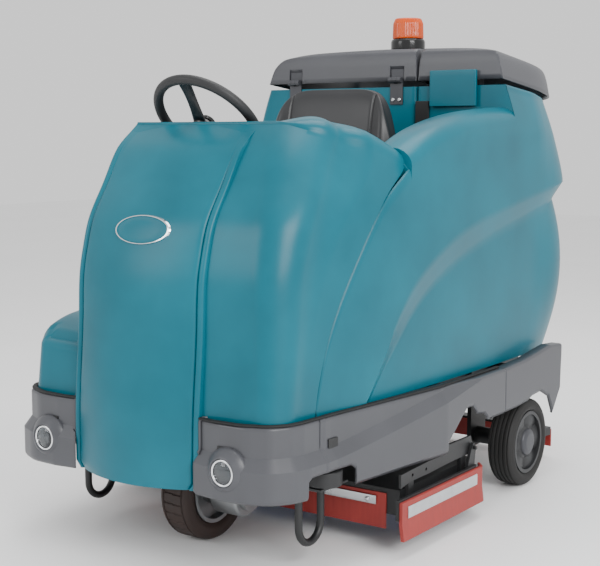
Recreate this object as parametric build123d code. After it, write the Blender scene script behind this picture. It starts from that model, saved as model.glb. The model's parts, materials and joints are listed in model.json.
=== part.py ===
from build123d import *
import os
from math import atan2, cos, degrees, hypot, radians, sin, sqrt

os.makedirs("parts", exist_ok=True)

# Ride-on floor scrubber. Millimetres, +Z up, origin on the floor under the middle of the machine.
# The machine drives towards -Y. The operator climbs in from the -X side; the +X side is closed.

# ---------------------------------------------------------------- driving dimensions
body_length = 1900.0        # nose panel to the back of the tanks
body_width = 1140.0         # across the rear skirts
nose_half_width = 500.0     # half width of the bumpers behind their front corners
front_overhang = 360.0      # nose panel to drive wheel axle
wheelbase = 1070.0
tyre_radius = 150.0
tyre_width = 96.0
drive_tyre_width = 104.0
skirt_top = 450.0
skirt_bottom = 242.0
skirt_wall = 8.0
shell_wall = 6.0            # rotomoulded polyethylene
shell_gap = 4.0             # between neighbouring mouldings
frame_bottom = 335.0        # underside of the chassis rails
rail_height = 50.0
rail_width = 50.0
rail_x = 325.0              # centre line of each rail
seat_well_top = 745.0       # top of the low part of the body, under the seat
cockpit_left = 396.0        # inside face of the closed left wing
tank_reach = 980.0          # drive axle to the front face of the tall rear tanks
tank_top = 1370.0
lid_gap = 16.0              # seal gap under the lids
lid_crown = 125.0           # height of the lids' crown over their lower edge
tank_split = 150.0          # the recovery tank ends here and the solution column starts
tank_half_top = body_width / 2 - 90.0    # half width of the tall tanks at their top
brush_diameter = 330.0
brush_overlap = 15.0        # the brush paths overlap by this much
deck_lift = 50.0            # the deck is parked this high above its working height
side_reach = 120.0          # brush path edge to the outside of the side blade
blade_thickness = 12.0
panel_half_width = 225.0
panel_bulge = 60.0
panel_bottom = 247.0
rim_height = 1245.0         # top of the hood in front of the steering wheel
rim_depth = 4.0            # rolled edge at the top of the hood
shoulder_top = 665.0        # low fender on the entry side
wheel_rim_radius = 163.0    # steering wheel, to the middle of its rim
wheel_rim_tube = 15.0
wheel_tilt = 45.0
wheel_height = 1244.0
seat_width = 500.0
seat_depth = 430.0
cushion_height = 90.0
seat_back_height = 480.0
running_clearance = 0.05    # radial, for every pin or shaft that turns or slides in a hole
light_x = 334.0
light_z = 321.0
light_radius = 29.0
roller_radius = 50.0
roller_height = 45.0
loop_bar = 22.0
loop_width = 130.0

# ---------------------------------------------------------------- places worked out from them
front_y = -body_length / 2
rear_y = body_length / 2
drive_y = front_y + front_overhang
rear_axle_y = drive_y + wheelbase
half_width = body_width / 2
frame_top = frame_bottom + rail_height
floor_z = frame_top + 5.0
rail_in = rail_x - rail_width / 2
rail_out = rail_x + rail_width / 2
shell_bottom = skirt_top
lid_top = tank_top + lid_gap + lid_crown
body_half = half_width - 30.0           # the tank side stands inside the skirt
tank_y = drive_y + tank_reach           # front face of the tall tanks
seat_y = drive_y + 450.0                # middle of the seat cushion
well_front = drive_y + 270.0            # front wall of the low body
wheel_y = drive_y + 30.0                # steering wheel centre
brush_radius = brush_diameter / 2
brush_pitch = brush_diameter - brush_overlap
brush_gap = 3.0
brush_stagger = sqrt((brush_diameter + brush_gap) ** 2 - brush_pitch ** 2)
deck_front = drive_y + 228.0
deck_wall = 6.0
deck_margin = 6.0
brush_y = deck_front + deck_wall + deck_margin + brush_radius
deck_rear = brush_y + brush_stagger + brush_radius + deck_margin + deck_wall
blade_x = brush_pitch + brush_radius + side_reach
deck_half = blade_x - 56.0
deck_top = 176.0
blade_bottom = deck_lift
blade_top = 165.0


# ---------------------------------------------------------------- small helpers
def block(x0, x1, y0, y1, z0, z1):
    return Pos((x0 + x1) / 2, (y0 + y1) / 2, (z0 + z1) / 2) * Box(x1 - x0, y1 - y0, z1 - z0)


def rod_x(radius, x0, x1, y, z):
    return Pos((x0 + x1) / 2, y, z) * Rot(0, 90, 0) * Cylinder(radius, x1 - x0)


def rod_y(radius, x, y0, y1, z):
    return Pos(x, (y0 + y1) / 2, z) * Rot(90, 0, 0) * Cylinder(radius, y1 - y0)


def rod_z(radius, x, y, z0, z1):
    return Pos(x, y, (z0 + z1) / 2) * Cylinder(radius, z1 - z0)


def plan_prism(points, z0, z1):
    outline = make_face(Polyline(*[(x, y, z0) for x, y in points], close=True))
    return extrude(outline, amount=z1 - z0, dir=(0, 0, 1))


def side_prism(points, x0, x1):
    outline = make_face(Polyline(*[(x0, y, z) for y, z in points], close=True))
    return extrude(outline, amount=x1 - x0, dir=(1, 0, 0))


def front_prism(points, y0, y1):
    outline = make_face(Polyline(*[(x, y0, z) for x, z in points], close=True))
    return extrude(outline, amount=y1 - y0, dir=(0, 1, 0))


def offset_line(points, distance):
    """An open line moved to its left by a distance, with mitred corners."""
    moved = []
    for i, (x, y) in enumerate(points):
        ax, ay = points[max(i - 1, 0)]
        bx, by = points[min(i + 1, len(points) - 1)]
        before = (x - ax, y - ay) if i > 0 else (bx - x, by - y)
        after = (bx - x, by - y) if i < len(points) - 1 else (x - ax, y - ay)
        nx = -before[1] / hypot(*before) - after[1] / hypot(*after)
        ny = before[0] / hypot(*before) + after[0] / hypot(*after)
        turn = (nx * nx + ny * ny) / 2
        moved.append((x + distance * nx / turn, y + distance * ny / turn))
    return moved


def wall_prism(points, thickness, z0, z1):
    """A wall that follows an open line; it lies to the left of the line."""
    return plan_prism(points + offset_line(points, thickness)[::-1], z0, z1)


def mirrored(shape):
    return mirror(shape, about=Plane.YZ)


def group(shapes):
    return Compound(children=list(shapes))


def skirt_x(y):
    """Outside of the skirt at a distance along the machine."""
    start = drive_y - 65.0
    end = drive_y + 444.0
    share = min(max((y - start) / (end - start), 0.0), 1.0)
    return nose_half_width + 11.0 + (half_width - nose_half_width - 11.0) * share


# ---------------------------------------------------------------- chassis
axle_radius = 15.0
spigot_radius = 60.0
ring_radius = 110.0
ring_height = 20.0
outrigger_ys = [drive_y - 60.0, drive_y + 262.0, drive_y + 742.0, rear_axle_y + 135.0]


def make_chassis():
    rail_start = drive_y - 150.0
    rail_end = rear_y - 120.0
    nose_tab = front_y + 46.0
    frame = block(rail_in, rail_out, rail_start, rail_end, frame_bottom, frame_top)
    frame += block(rail_in, rail_out, nose_tab, rail_start + 1.0, frame_top - 20.0, frame_top)
    for y in (well_front + 40.0, rear_axle_y + 180.0):
        frame += block(rail_out - 13.0, rail_out, y, y + 60.0, frame_top, shell_bottom)
    frame += mirrored(frame)
    for y in (rail_start, well_front - 10.0, actuator_y - 20.0, rear_axle_y - 20.0, rail_end - 40.0):
        frame += block(-rail_in, rail_in, y, y + 40.0, frame_bottom + 5.0, frame_top)
    frame += block(-rail_in, rail_in, rail_start, drive_y + 130.0, frame_top - 20.0, frame_top)
    frame -= rod_z(spigot_radius + 4.0, 0, drive_y, frame_bottom, frame_top + 1.0)
    for y in outrigger_ys:
        reach = skirt_x(y) - skirt_wall / 2
        frame += block(rail_out, reach, y - 20.0, y + 20.0, frame_top - 35.0, frame_top)
        frame += block(-reach, -rail_out, y - 20.0, y + 20.0, frame_top - 35.0, frame_top)
    for side in (1, -1):
        plate = block(rail_out, rail_out + 15.0, rear_axle_y - 55.0, rear_axle_y + 55.0,
                      tyre_radius - 35.0, frame_top)
        stub = rod_x(axle_radius, rail_out + 10.0, half_width - 12.0, rear_axle_y, tyre_radius)
        collar = rod_x(axle_radius + 14.0, rail_out + 15.0, half_width - 5.0 - tyre_width - 4.0,
                       rear_axle_y, tyre_radius)
        leg = plate + stub + collar
        frame += leg if side > 0 else mirrored(leg)
    hanger = block(-30.0, 30.0, rear_axle_y + 100.0, rear_axle_y + 112.0, 285.0, frame_bottom + 5.0)
    tie = block(-rail_in, rail_in, rear_axle_y + 90.0, rear_axle_y + 130.0, frame_bottom + 5.0, frame_top)
    frame += tie
    frame += hanger
    skirts = [make_side_skirt(), make_rear_skirts().solids()[0]]
    for skirt in skirts:
        frame -= skirt
        frame -= mirrored(skirt)
    return frame


def make_floor_plate():
    left = cockpit_left - 8.0
    plate = block(-left, left, drive_y - 170.0, well_front - shell_gap, frame_top, floor_z)
    step = block(-skirt_x(drive_y + 150.0) + 60.0, -left, drive_y + 60.0, well_front - shell_gap,
                 frame_top, floor_z)
    ears = []
    for x in pedal_xs:
        for side in (-1, 1):
            ear_x = x + side * (pedal_tube / 2 + 5.0)
            ear = block(ear_x - 4.0, ear_x + 4.0, pedal_y - 11.0, pedal_y + 11.0, floor_z, pedal_z + 11.0)
            ears.append(ear)
        ears.append(rod_x(pedal_pin, x - pedal_tube / 2 - 5.0, x + pedal_tube / 2 + 5.0, pedal_y, pedal_z))
    result = plate + step
    for ear in ears:
        result += ear
    return result


# ---------------------------------------------------------------- batteries
battery_width = 180.0
battery_length = 258.0
battery_height = 280.0
battery_gap = 8.0


def make_batteries():
    blocks = []
    for row in range(2):
        for column in range(3):
            x = (column - 1) * (battery_width + battery_gap) + 10.0
            y = well_front + 160.0 + row * (battery_length + battery_gap)
            case = Box(battery_width, battery_length, battery_height)
            case = Pos(x, y, floor_z + battery_height / 2) * case
            case = fillet(case.edges().filter_by(Axis.Z), 6.0)
            for side in (-1, 1):
                post_x = x + side * battery_width * 0.32
                post_z = floor_z + battery_height
                case += rod_z(9.0, post_x, y - battery_length * 0.38, post_z - 1.0, post_z + 18.0)
            blocks.append(case)
    return group(blocks)


# ---------------------------------------------------------------- steering and drive unit
fork_half = drive_tyre_width / 2 + 9.0
fork_plate = 10.0
motor_radius = 62.0
motor_length = 92.0


def make_slew_ring():
    z0 = frame_top - 20.0 - ring_height
    ring = rod_z(ring_radius, 0, drive_y, z0, z0 + ring_height)
    return ring - rod_z(spigot_radius + running_clearance, 0, drive_y, z0 - 1.0, z0 + ring_height + 1.0)


def make_fork():
    ring_z = frame_top - 20.0 - ring_height
    head = rod_z(ring_radius - 6.0, 0, drive_y, ring_z - 20.0, ring_z - 0.5)
    head += rod_z(spigot_radius, 0, drive_y, ring_z - 1.0, frame_top - 2.0)
    fork = head
    for x in (fork_half, -fork_half - fork_plate):
        cheek = side_prism([(drive_y - 60.0, ring_z - 2.0), (drive_y + 60.0, ring_z - 2.0),
                            (drive_y + 38.0, tyre_radius - 38.0), (drive_y - 38.0, tyre_radius - 38.0)],
                           x, x + fork_plate)
        fork += cheek
    axle = rod_x(axle_radius + 3.0, -fork_half - fork_plate, fork_half + fork_plate, drive_y, tyre_radius)
    return fork + axle


def make_drive_motor():
    x0 = fork_half + fork_plate + 0.2
    motor = rod_x(motor_radius, x0, x0 + motor_length, drive_y, tyre_radius)
    motor = fillet(motor.edges().sort_by(Axis.X)[-1], 8.0)
    brake_x = x0 + motor_length
    brake = rod_x(motor_radius - 20.0, brake_x - 2.0, brake_x + 18.0, drive_y, tyre_radius)
    return motor + brake


def make_tyre(x_mid, y, width, rim_radius, grooves):
    """A tyre with rounded shoulders; the grooves run round its tread."""
    tyre = rod_x(tyre_radius, x_mid - width / 2, x_mid + width / 2, y, tyre_radius)
    tyre = fillet(tyre.edges(), 9.0)
    tyre -= rod_x(rim_radius, x_mid - width, x_mid + width, y, tyre_radius)
    for i in range(grooves):
        x = x_mid + (i - (grooves - 1) / 2) * width / (grooves + 1.5)
        ring = rod_x(tyre_radius + 2.0, x - 2.0, x + 2.0, y, tyre_radius)
        tyre -= ring - rod_x(tyre_radius - 5.0, x - 3.0, x + 3.0, y, tyre_radius)
    return tyre


def make_rim(x_mid, y, width, rim_radius, bore, dish):
    """A rim with a web dished in from its outer face (towards +X)."""
    rim = rod_x(rim_radius - 0.5, x_mid - width / 2 + 6.0, x_mid + width / 2 - 6.0, y, tyre_radius)
    face = x_mid + width / 2 - 6.0
    rim -= rod_x(rim_radius - 12.0, face - dish, face + 1.0, y, tyre_radius)
    hub = rod_x(42.0, face - dish - 1.0, face - 8.0, y, tyre_radius)
    rim += hub
    return rim - rod_x(bore, x_mid - width, x_mid + width, y, tyre_radius)


# ---------------------------------------------------------------- front hood
wall_front = front_y + 75.0


def hood_line(inset):
    """Plan outline of the hood from the entry side round the nose to the closed side."""
    corner = nose_half_width - 30.0
    line = [(-corner, drive_y + 30.0), (-corner, drive_y - 140.0), (-corner + 10.0, drive_y - 225.0),
            (-corner + 47.0, drive_y - 258.0), (-347.0, wall_front + 7.0), (0.0, wall_front - 10.0),
            (347.0, wall_front + 7.0), (corner - 47.0, drive_y - 258.0), (corner - 10.0, drive_y - 225.0),
            (corner, drive_y - 140.0), (corner + 33.0, drive_y + 74.0), (body_half - 12.0, drive_y + 330.0)]
    return offset_line(line, inset) if inset else line


# height of the hood's front, as (distance from the nose wall, height)
front_slope = [(0.0, 4.0), (17.0, 249.0), (25.0, 379.0), (41.0, 449.0), (63.0, 519.0), (90.0, 565.0),
               (126.0, 619.0), (174.0, 693.0), (216.0, 743.0), (278.0, 799.0)]

# the seam between the hood and the tank, as (distance from the drive axle, height)
seam = [(-100.0, 474.0), (-73.0, 587.0), (-37.0, 687.0), (15.0, 787.0), (79.0, 888.0), (156.0, 991.0),
        (236.0, 1060.0), (317.0, 1108.0), (304.0, 1138.0), (284.0, 1163.0)]


def seam_line(shift):
    return [(drive_y + y + shift, z) for y, z in seam]


def hood_profile(inset):
    """Side profile of the tall part of the hood: nose slope, rim, wing top and seam."""
    low = shell_bottom if inset == 0 else shell_bottom - 20.0
    nose = [(wall_front + y + inset, shell_bottom + z - inset * 0.7) for y, z in front_slope[1:]]
    top = [(drive_y + 35.0, 1252.0 - inset), (drive_y + 142.0, 1235.0 - inset),
           (drive_y + 229.0, 1216.0 - inset)]
    back = [(y, z) for y, z in seam_line(-inset)][::-1]
    back = [(y, z - inset * 0.6) for y, z in back]
    return [(wall_front + inset, low)] + nose + top + back + [(drive_y - 102.0 - inset, low)]


def cockpit(grow):
    """The operator's space inside the hood, grown by a wall when the hood is hollowed."""
    inner_front = wall_front + 10.0 - grow
    slope = [(inner_front + y, shell_bottom + z - 7.0) for y, z in front_slope[1:-1]]
    rim_y = wall_front + front_slope[-1][0] + rim_depth
    outline = [(inner_front, shell_bottom - 30.0)] + slope
    outline += [(rim_y - grow, rim_height - 8.0), (rim_y - grow, rim_height + 80.0),
                (tank_y, rim_height + 80.0), (tank_y, shell_bottom - 30.0)]
    return side_prism(outline, -half_width - 20.0, cockpit_left + grow)


def make_panel_shell(inset):
    """The bulged nose panel as a ruled loft through plan sections."""
    sections = []
    heights = [panel_bottom, 380.0, 700.0, 830.0, 900.0, 970.0, 1016.0, 1070.0, 1144.0, 1194.0]
    heights.append(rim_height - 4.0)
    edges = [60.0, 61.0, 79.0, 87.0, 103.0, 127.0, 156.0, 195.0, 245.0, 289.0, 340.0]
    for i, (z, edge) in enumerate(zip(heights, edges)):
        w = panel_half_width - inset
        y = front_y + edge + inset
        bulge = panel_bulge * (1.0 - 0.75 * i / (len(heights) - 1))
        back = y + 45.0 if inset == 0 else y + 60.0
        height = z - inset * 0.9 * i / (len(heights) - 1)
        if inset and i == 0:
            height = z - 10.0
        arc = ThreePointArc((-w, y, height), (0, y - bulge, height), (w, y, height))
        rest = Polyline((w, y, height), (w, back, height), (-w, back, height), (-w, y, height))
        sections.append(make_face(Wire([arc] + list(rest.edges()))))
    return loft(sections, ruled=True)


def make_hood():
    plan = hood_line(0.0)
    inner = hood_line(shell_wall)
    closed = plan + [(body_half - 12.0, drive_y + 340.0), (-panel_half_width, drive_y + 340.0),
                     (-panel_half_width, drive_y + 30.0)]
    closed_in = inner + [(body_half - 12.0 - shell_wall, drive_y + 340.0),
                         (-panel_half_width + shell_wall, drive_y + 340.0),
                         (-panel_half_width + shell_wall, drive_y + 30.0)]
    tall_side = block(-panel_half_width, half_width, front_y - 10.0, rear_y, 0, 2000.0)
    outer = plan_prism(closed, shell_bottom - 30.0, 1400.0) & side_prism(hood_profile(0.0), -600.0, 600.0)
    outer = (outer & tall_side) - cockpit(0.0)
    core = plan_prism(closed_in, shell_bottom - 40.0, 1400.0)
    core = core & side_prism(hood_profile(shell_wall), -panel_half_width + shell_wall, 600.0)
    core -= cockpit(shell_wall)
    hood = outer - core
    # the low fender on the entry side
    fender_side = [(wall_front, shell_bottom), (wall_front + 12.0, shoulder_top - 60.0),
                   (drive_y - 144.0, shoulder_top - 15.0), (drive_y - 59.0, shoulder_top),
                   (drive_y + 20.0, shoulder_top), (drive_y + 20.0, shell_bottom)]
    fender_in = [(y + (shell_wall if i < 3 else -shell_wall), z - (shell_wall if 0 < i < 5 else 30.0))
                 for i, (y, z) in enumerate(fender_side)]
    low_side = block(-half_width, -panel_half_width, front_y, rear_y, 0, 2000.0)
    fender = plan_prism(closed, shell_bottom - 30.0, 900.0) & side_prism(fender_side, -600.0, 0.0) & low_side
    low_in = block(-half_width, -panel_half_width - shell_wall, front_y, rear_y, 0, 2000.0)
    fender -= plan_prism(closed_in, shell_bottom - 40.0, 900.0) & side_prism(fender_in, -600.0, 0.0) & low_in
    panel = make_panel_shell(0.0) - make_panel_shell(shell_wall) - cockpit(0.0)
    return hood + fender + panel


# ---------------------------------------------------------------- dash, column and steering wheel
console_half = 200.0
dash_top_y = drive_y - 10.0
dash_top_z = 1190.0
dash_low_y = drive_y + 90.0
dash_low_z = 1075.0
column_radius = 16.0
shaft_radius = 8.0
dash_slope = Plane(origin=(0, (dash_top_y + dash_low_y) / 2, (dash_top_z + dash_low_z) / 2), x_dir=(1, 0, 0),
                   z_dir=(0, dash_top_z - dash_low_z, dash_low_y - dash_top_y))
wheel_plane = Plane(origin=(0, wheel_y, wheel_height), x_dir=(1, 0, 0),
                    z_dir=(0, sin(radians(wheel_tilt)), cos(radians(wheel_tilt))))
stop_x = 150.0
key_x = -140.0
stop_stem = 11.0
key_radius = 9.0
horn_radius = 22.0


def on_plane(plane, shape, x=0.0, y=0.0, z=0.0):
    return plane.location * Pos(x, y, z) * shape


def make_console():
    outline = [(dash_top_y, dash_top_z), (dash_low_y, dash_low_z), (drive_y + 70.0, 880.0),
               (drive_y - 50.0, 800.0), (drive_y - 145.0, 800.0), (drive_y - 145.0, 1000.0),
               (drive_y - 105.0, 1075.0), (drive_y - 62.0, 1140.0)]
    console = side_prism(outline, -console_half, console_half)
    console = fillet(console.edges().filter_by(Axis.X).sort_by(Axis.Y)[-3:], 14.0)
    console -= on_plane(wheel_plane, Cylinder(column_radius + running_clearance, 200.0), z=-150.0)
    console -= on_plane(dash_slope, Cylinder(stop_stem + running_clearance, 80.0), x=stop_x)
    console -= on_plane(dash_slope, Cylinder(key_radius + running_clearance, 60.0), x=key_x)
    foot = block(-75.0, 5.0, drive_y - 145.0, drive_y - 110.0, floor_z, 801.0)
    return console + foot


def make_column():
    column = on_plane(wheel_plane, Cylinder(column_radius, 64.0), z=-54.0)
    return column - on_plane(wheel_plane, Cylinder(shaft_radius + running_clearance, 120.0), z=-54.0)


def make_steering_wheel():
    rim = on_plane(wheel_plane, Torus(wheel_rim_radius, wheel_rim_tube))
    hub = on_plane(wheel_plane, Cylinder(34.0, 18.0), z=-8.0)
    hub -= on_plane(wheel_plane, Cylinder(horn_radius + running_clearance, 20.0), z=-3.0)
    wheel = rim + hub
    for turn in (0.0, 130.0, 230.0):
        spoke = Pos(0, (wheel_rim_radius + 30.0) / 2, -6.0) * Box(46.0, wheel_rim_radius - 30.0, 8.0)
        wheel += on_plane(wheel_plane, Rot(0, 0, turn + 180.0) * spoke)
    return wheel + on_plane(wheel_plane, Cylinder(shaft_radius, 60.0), z=-46.0)


def make_horn():
    return on_plane(wheel_plane, Cylinder(horn_radius, 10.0), z=-3.0)


def make_stop():
    button = on_plane(dash_slope, Cylinder(stop_stem, 34.0), x=stop_x, z=-3.0)
    return button + on_plane(dash_slope, Cylinder(20.0, 12.0), x=stop_x, z=17.0)


def make_key():
    barrel = on_plane(dash_slope, Cylinder(key_radius, 24.0), x=key_x, z=-8.0)
    return barrel + on_plane(dash_slope, Box(5.0, 26.0, 24.0), x=key_x, z=14.0)


# ---------------------------------------------------------------- pedals
pedal_xs = (-160.0, 60.0)
pedal_y = drive_y + 45.0
pedal_z = floor_z + 16.0
pedal_pin = 5.0
pedal_tube = 60.0
pedal_slope = 35.0


def make_pedal(x, width, length):
    pedal = rod_x(10.0, x - pedal_tube / 2, x + pedal_tube / 2, pedal_y, pedal_z)
    plate = Pos(x, 0, 0) * Box(width, length, 8.0)
    plate = Pos(0, pedal_y, pedal_z) * Rot(-pedal_slope, 0, 0) * Pos(0, -length / 2 - 20.0, 4.0) * plate
    neck = Pos(x, 0, 0) * Box(pedal_tube - 20.0, 34.0, 8.0)
    neck = Pos(0, pedal_y, pedal_z) * Rot(-pedal_slope, 0, 0) * Pos(0, -17.0, 4.0) * neck
    pedal += plate
    pedal += neck
    return pedal - rod_x(pedal_pin + running_clearance, x - 80.0, x + 80.0, pedal_y, pedal_z)


# ---------------------------------------------------------------- solution tank, the main body
def body_line(inset):
    """Plan outline of the rear body, from the closed side round the back to the entry side."""
    right = [(nose_half_width + 3.0, drive_y + 40.0), (body_half - 10.0, drive_y + 340.0),
             (body_half, drive_y + 800.0), (body_half, rear_y - 300.0), (body_half - 20.0, rear_y - 160.0),
             (body_half - 80.0, rear_y - 60.0), (body_half - 200.0, rear_y - 12.0), (150.0, rear_y)]
    first = [(nose_half_width - 25.0, drive_y - 110.0)]
    left = [(-x, y) for x, y in right[::-1]]
    line = first + right + left[:-2] + [(-body_half + 10.0, well_front)]
    return offset_line(line, inset) if inset else line


def wing_profile(inset):
    low = shell_bottom + inset
    front = [(y, z) for y, z in seam_line(shell_gap + inset)]
    top = [(drive_y + 383.0, 1200.0), (drive_y + 568.0, 1252.0), (drive_y + 734.0, 1278.0), (tank_y, 1296.0)]
    front[0] = (front[0][0], low)
    return front + [(y, z - inset) for y, z in top] + [(tank_y, low)]


def column_profile(inset, x_low):
    """Side profile of the tall rear part, with the top falling to the back."""
    return [(tank_y + inset, x_low), (tank_y + inset, tank_top - inset),
            (rear_y - 60.0, tank_top - 56.0 - inset), (rear_y + 50.0, tank_top - 70.0 - inset),
            (rear_y + 50.0, x_low)]


def make_solution_tank():
    outer_plan = plan_prism(body_line(0.0), shell_bottom, 1500.0)
    inner_plan = plan_prism(body_line(shell_wall), shell_bottom - 1.0, 1500.0)
    low = outer_plan & block(-half_width, half_width, well_front, rear_y + 1.0, shell_bottom, seat_well_top)
    low_floor = shell_bottom + shell_wall
    low_in = inner_plan & block(-half_width, half_width, well_front + shell_wall, rear_y, low_floor,
                                seat_well_top - shell_wall)
    wing = outer_plan & side_prism(wing_profile(0.0), cockpit_left, half_width)
    wing_in = inner_plan & side_prism(wing_profile(shell_wall), cockpit_left + shell_wall, half_width)
    column_low = seat_well_top - 20.0
    column_right = tank_split + shell_gap
    column = outer_plan & side_prism(column_profile(0.0, column_low), column_right, tank_half_top)
    column_in = inner_plan & side_prism(column_profile(shell_wall, column_low - shell_wall),
                                        column_right + shell_wall, tank_half_top - shell_wall)
    bay_front = well_front + 22.0
    bay_rear = well_front + 570.0
    well = block(-300.0, 330.0, bay_front, bay_rear, shell_bottom - 2.0, seat_well_top + 2.0)
    well_wall = block(-300.0 - shell_wall, 330.0 + shell_wall, bay_front - shell_wall,
                      bay_rear + shell_wall, shell_bottom - 2.0, seat_well_top + 2.0)
    core = (low_in + wing_in + column_in) - well_wall
    fill_mouth = block(tank_split + shell_gap + 40.0, tank_half_top - 60.0, tank_y + 60.0, rear_y - 160.0,
                       tank_top - 90.0, tank_top + 10.0)
    neck = block(213.0, 390.0, tank_y, tank_y + 9.0, tank_top - 30.0, tank_top + 50.0)
    tank = (low + wing + column) - core - well - fill_mouth
    return tank + neck


# ---------------------------------------------------------------- recovery tank and lids
hose_spigot = 25.0
spigot_x = -210.0


def make_recovery_tank():
    outer = plan_prism(body_line(0.0), seat_well_top, 1500.0)
    inner = plan_prism(body_line(shell_wall), seat_well_top, 1500.0)
    body = outer & side_prism(column_profile(0.0, seat_well_top), -tank_half_top, tank_split)
    hollow = inner & side_prism(column_profile(shell_wall, seat_well_top + shell_wall),
                                -tank_half_top + shell_wall, tank_split - shell_wall)
    mouth = block(-tank_half_top + 45.0, tank_split - 30.0, tank_y + 45.0, rear_y - 150.0,
                  tank_top - 100.0, tank_top + 10.0)
    tank = body - hollow - mouth
    tank += block(-tank_half_top + 3.0, -tank_half_top + 190.0, tank_y + 3.0, tank_y + 190.0, 1150.0, 1156.0)
    spigot = rod_y(hose_spigot, spigot_x, rear_y - 50.0, rear_y - 1.0, 1130.0)
    back = rod_y(hose_spigot + 10.0, spigot_x, rear_y - 60.0, rear_y - 46.0, 1130.0)
    pocket = rod_y(hose_spigot + 32.0, spigot_x, rear_y - 50.0, rear_y + 10.0, 1130.0)
    pocket_wall = rod_y(hose_spigot + 38.0, spigot_x, rear_y - 56.0, rear_y - 2.0, 1130.0)
    tank = (tank + pocket_wall) - pocket
    tank += spigot + back
    return tank - rod_y(hose_spigot - 5.0, spigot_x, rear_y - 70.0, rear_y + 10.0, 1130.0)


def make_vacuum_motor():
    x = -tank_half_top + 96.0
    y = tank_y + 96.0
    motor = rod_z(72.0, x, y, 1156.0, 1250.0)
    motor += rod_z(50.0, x, y, 1248.0, 1300.0)
    return motor + Pos(x, y, 1306.0) * Cylinder(30.0, 14.0)


lid_front = [(-480.0, 0.0), (-447.0, 63.0), (-389.0, 94.0), (-257.0, 110.0), (-94.0, 119.0), (18.0, 121.0),
             (167.0, 113.0), (337.0, 105.0), (434.0, 93.0), (467.0, 55.0), (482.0, 0.0)]


def lid_shell(x0, x1, grow):
    """Crowned cover: the front outline carried back, cut by a side outline that falls to the rear."""
    base = tank_top + lid_gap + 4.0
    scale = tank_half_top / 480.0
    front = [(x * scale, base + z - grow) for x, z in lid_front]
    front = [(front[0][0] + grow, 1250.0)] + front[1:-1] + [(front[-1][0] - grow, 1250.0)]
    low = lid_gap - (30.0 if grow else 0.0)
    side = [(tank_y - 4.0 + grow, base + (-30.0 if grow else 0.0)),
            (tank_y + 3.0 + grow, base + 100.0 - grow),
            (tank_y + 50.0, base + 122.0 - grow), (tank_y + 185.0, base + 113.0 - grow),
            (rear_y - 175.0, base + 82.0 - grow), (rear_y - 95.0, base + 30.0 - grow),
            (rear_y - 36.0 - grow, base - 50.0 + (0 if grow == 0 else -20.0)),
            (rear_y - 70.0, tank_top - 56.0 + low)]
    return front_prism(front, tank_y - 20.0, rear_y) & side_prism(side, x0, x1)


def make_recovery_lid():
    x1 = tank_split + 2.0
    lid = lid_shell(-half_width, x1, 0.0) - lid_shell(-half_width, x1 - shell_wall, shell_wall)
    for x in hinge_xs:
        lid += block(x - 34.0, x + 34.0, tank_y - 1.0, tank_y + 14.0, hinge_z + 4.0, hinge_z + 60.0)
        lid -= block(x - 28.0, x + 28.0, tank_y - 10.0, tank_y + 8.0, 1300.0, hinge_z + 42.0)
    return lid


def make_fill_lid():
    x0 = tank_split + 10.0
    lid = lid_shell(x0, half_width, 0.0) - lid_shell(x0 + shell_wall, half_width, shell_wall)
    return lid - block(209.0, 394.0, tank_y - 10.0, tank_y + 13.0, 1300.0, tank_top + 54.0)


# ---------------------------------------------------------------- lid hinges
hinge_xs = (-360.0, 73.0)
hinge_half = 25.0
hinge_y = tank_y - 13.0
hinge_z = tank_top + 22.0
hinge_pin = 5.0
hinge_knuckle = 10.0


def make_hinge_leaves():
    """Two fixed leaves, each with two outer knuckles and its pin."""
    leaves = []
    for x in hinge_xs:
        leaf = block(x - hinge_half, x + hinge_half, tank_y - 5.0, tank_y, tank_top - 62.0, hinge_z)
        for side in (-1, 1):
            ends = sorted((x + side * 9.0, x + side * hinge_half))
            leaf += rod_x(hinge_knuckle, ends[0], ends[1], hinge_y, hinge_z)
            leaf += block(ends[0], ends[1], hinge_y, tank_y, hinge_z - hinge_knuckle, hinge_z - 2.0)
        leaf -= block(x - 8.6, x + 8.6, hinge_y - 12.0, tank_y + 1.0, hinge_z - 13.0, hinge_z + 13.0)
        leaves.append(leaf + rod_x(hinge_pin, x - hinge_half, x + hinge_half, hinge_y, hinge_z))
    return group(leaves)


def make_hinge_knuckles():
    """The moving halves: a middle knuckle and a strap on the lid's front edge."""
    straps = []
    for x in hinge_xs:
        strap = rod_x(hinge_knuckle, x - 8.0, x + 8.0, hinge_y, hinge_z)
        strap += block(x - 8.0, x + 8.0, hinge_y, tank_y + 2.0, hinge_z, hinge_z + hinge_knuckle)
        strap += block(x - hinge_half, x + hinge_half, tank_y + 2.0, tank_y + 8.0,
                       hinge_z + 1.5, hinge_z + 38.0)
        strap += block(x - 8.0, x + 8.0, tank_y, tank_y + 8.0, hinge_z, hinge_z + 12.0)
        straps.append(strap - rod_x(hinge_pin + running_clearance, x - 30.0, x + 30.0, hinge_y, hinge_z))
    return group(straps)


# ---------------------------------------------------------------- beacon
beacon_x = 45.0
beacon_y = tank_y + 120.0


def make_beacon_base():
    base = rod_z(62.0, beacon_x, beacon_y, lid_top - 14.0, lid_top + 30.0)
    base = fillet(base.edges().sort_by(Axis.Z)[-1], 6.0)
    return base - lid_shell(-half_width, tank_split + 2.0, 0.0)


def make_beacon_lens():
    lens = rod_z(55.0, beacon_x, beacon_y, lid_top + 30.0, lid_top + 104.0)
    lens = fillet(lens.edges().sort_by(Axis.Z)[-1], 12.0)
    lens -= rod_z(50.0, beacon_x, beacon_y, lid_top + 29.0, lid_top + 98.0)
    return lens


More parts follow.
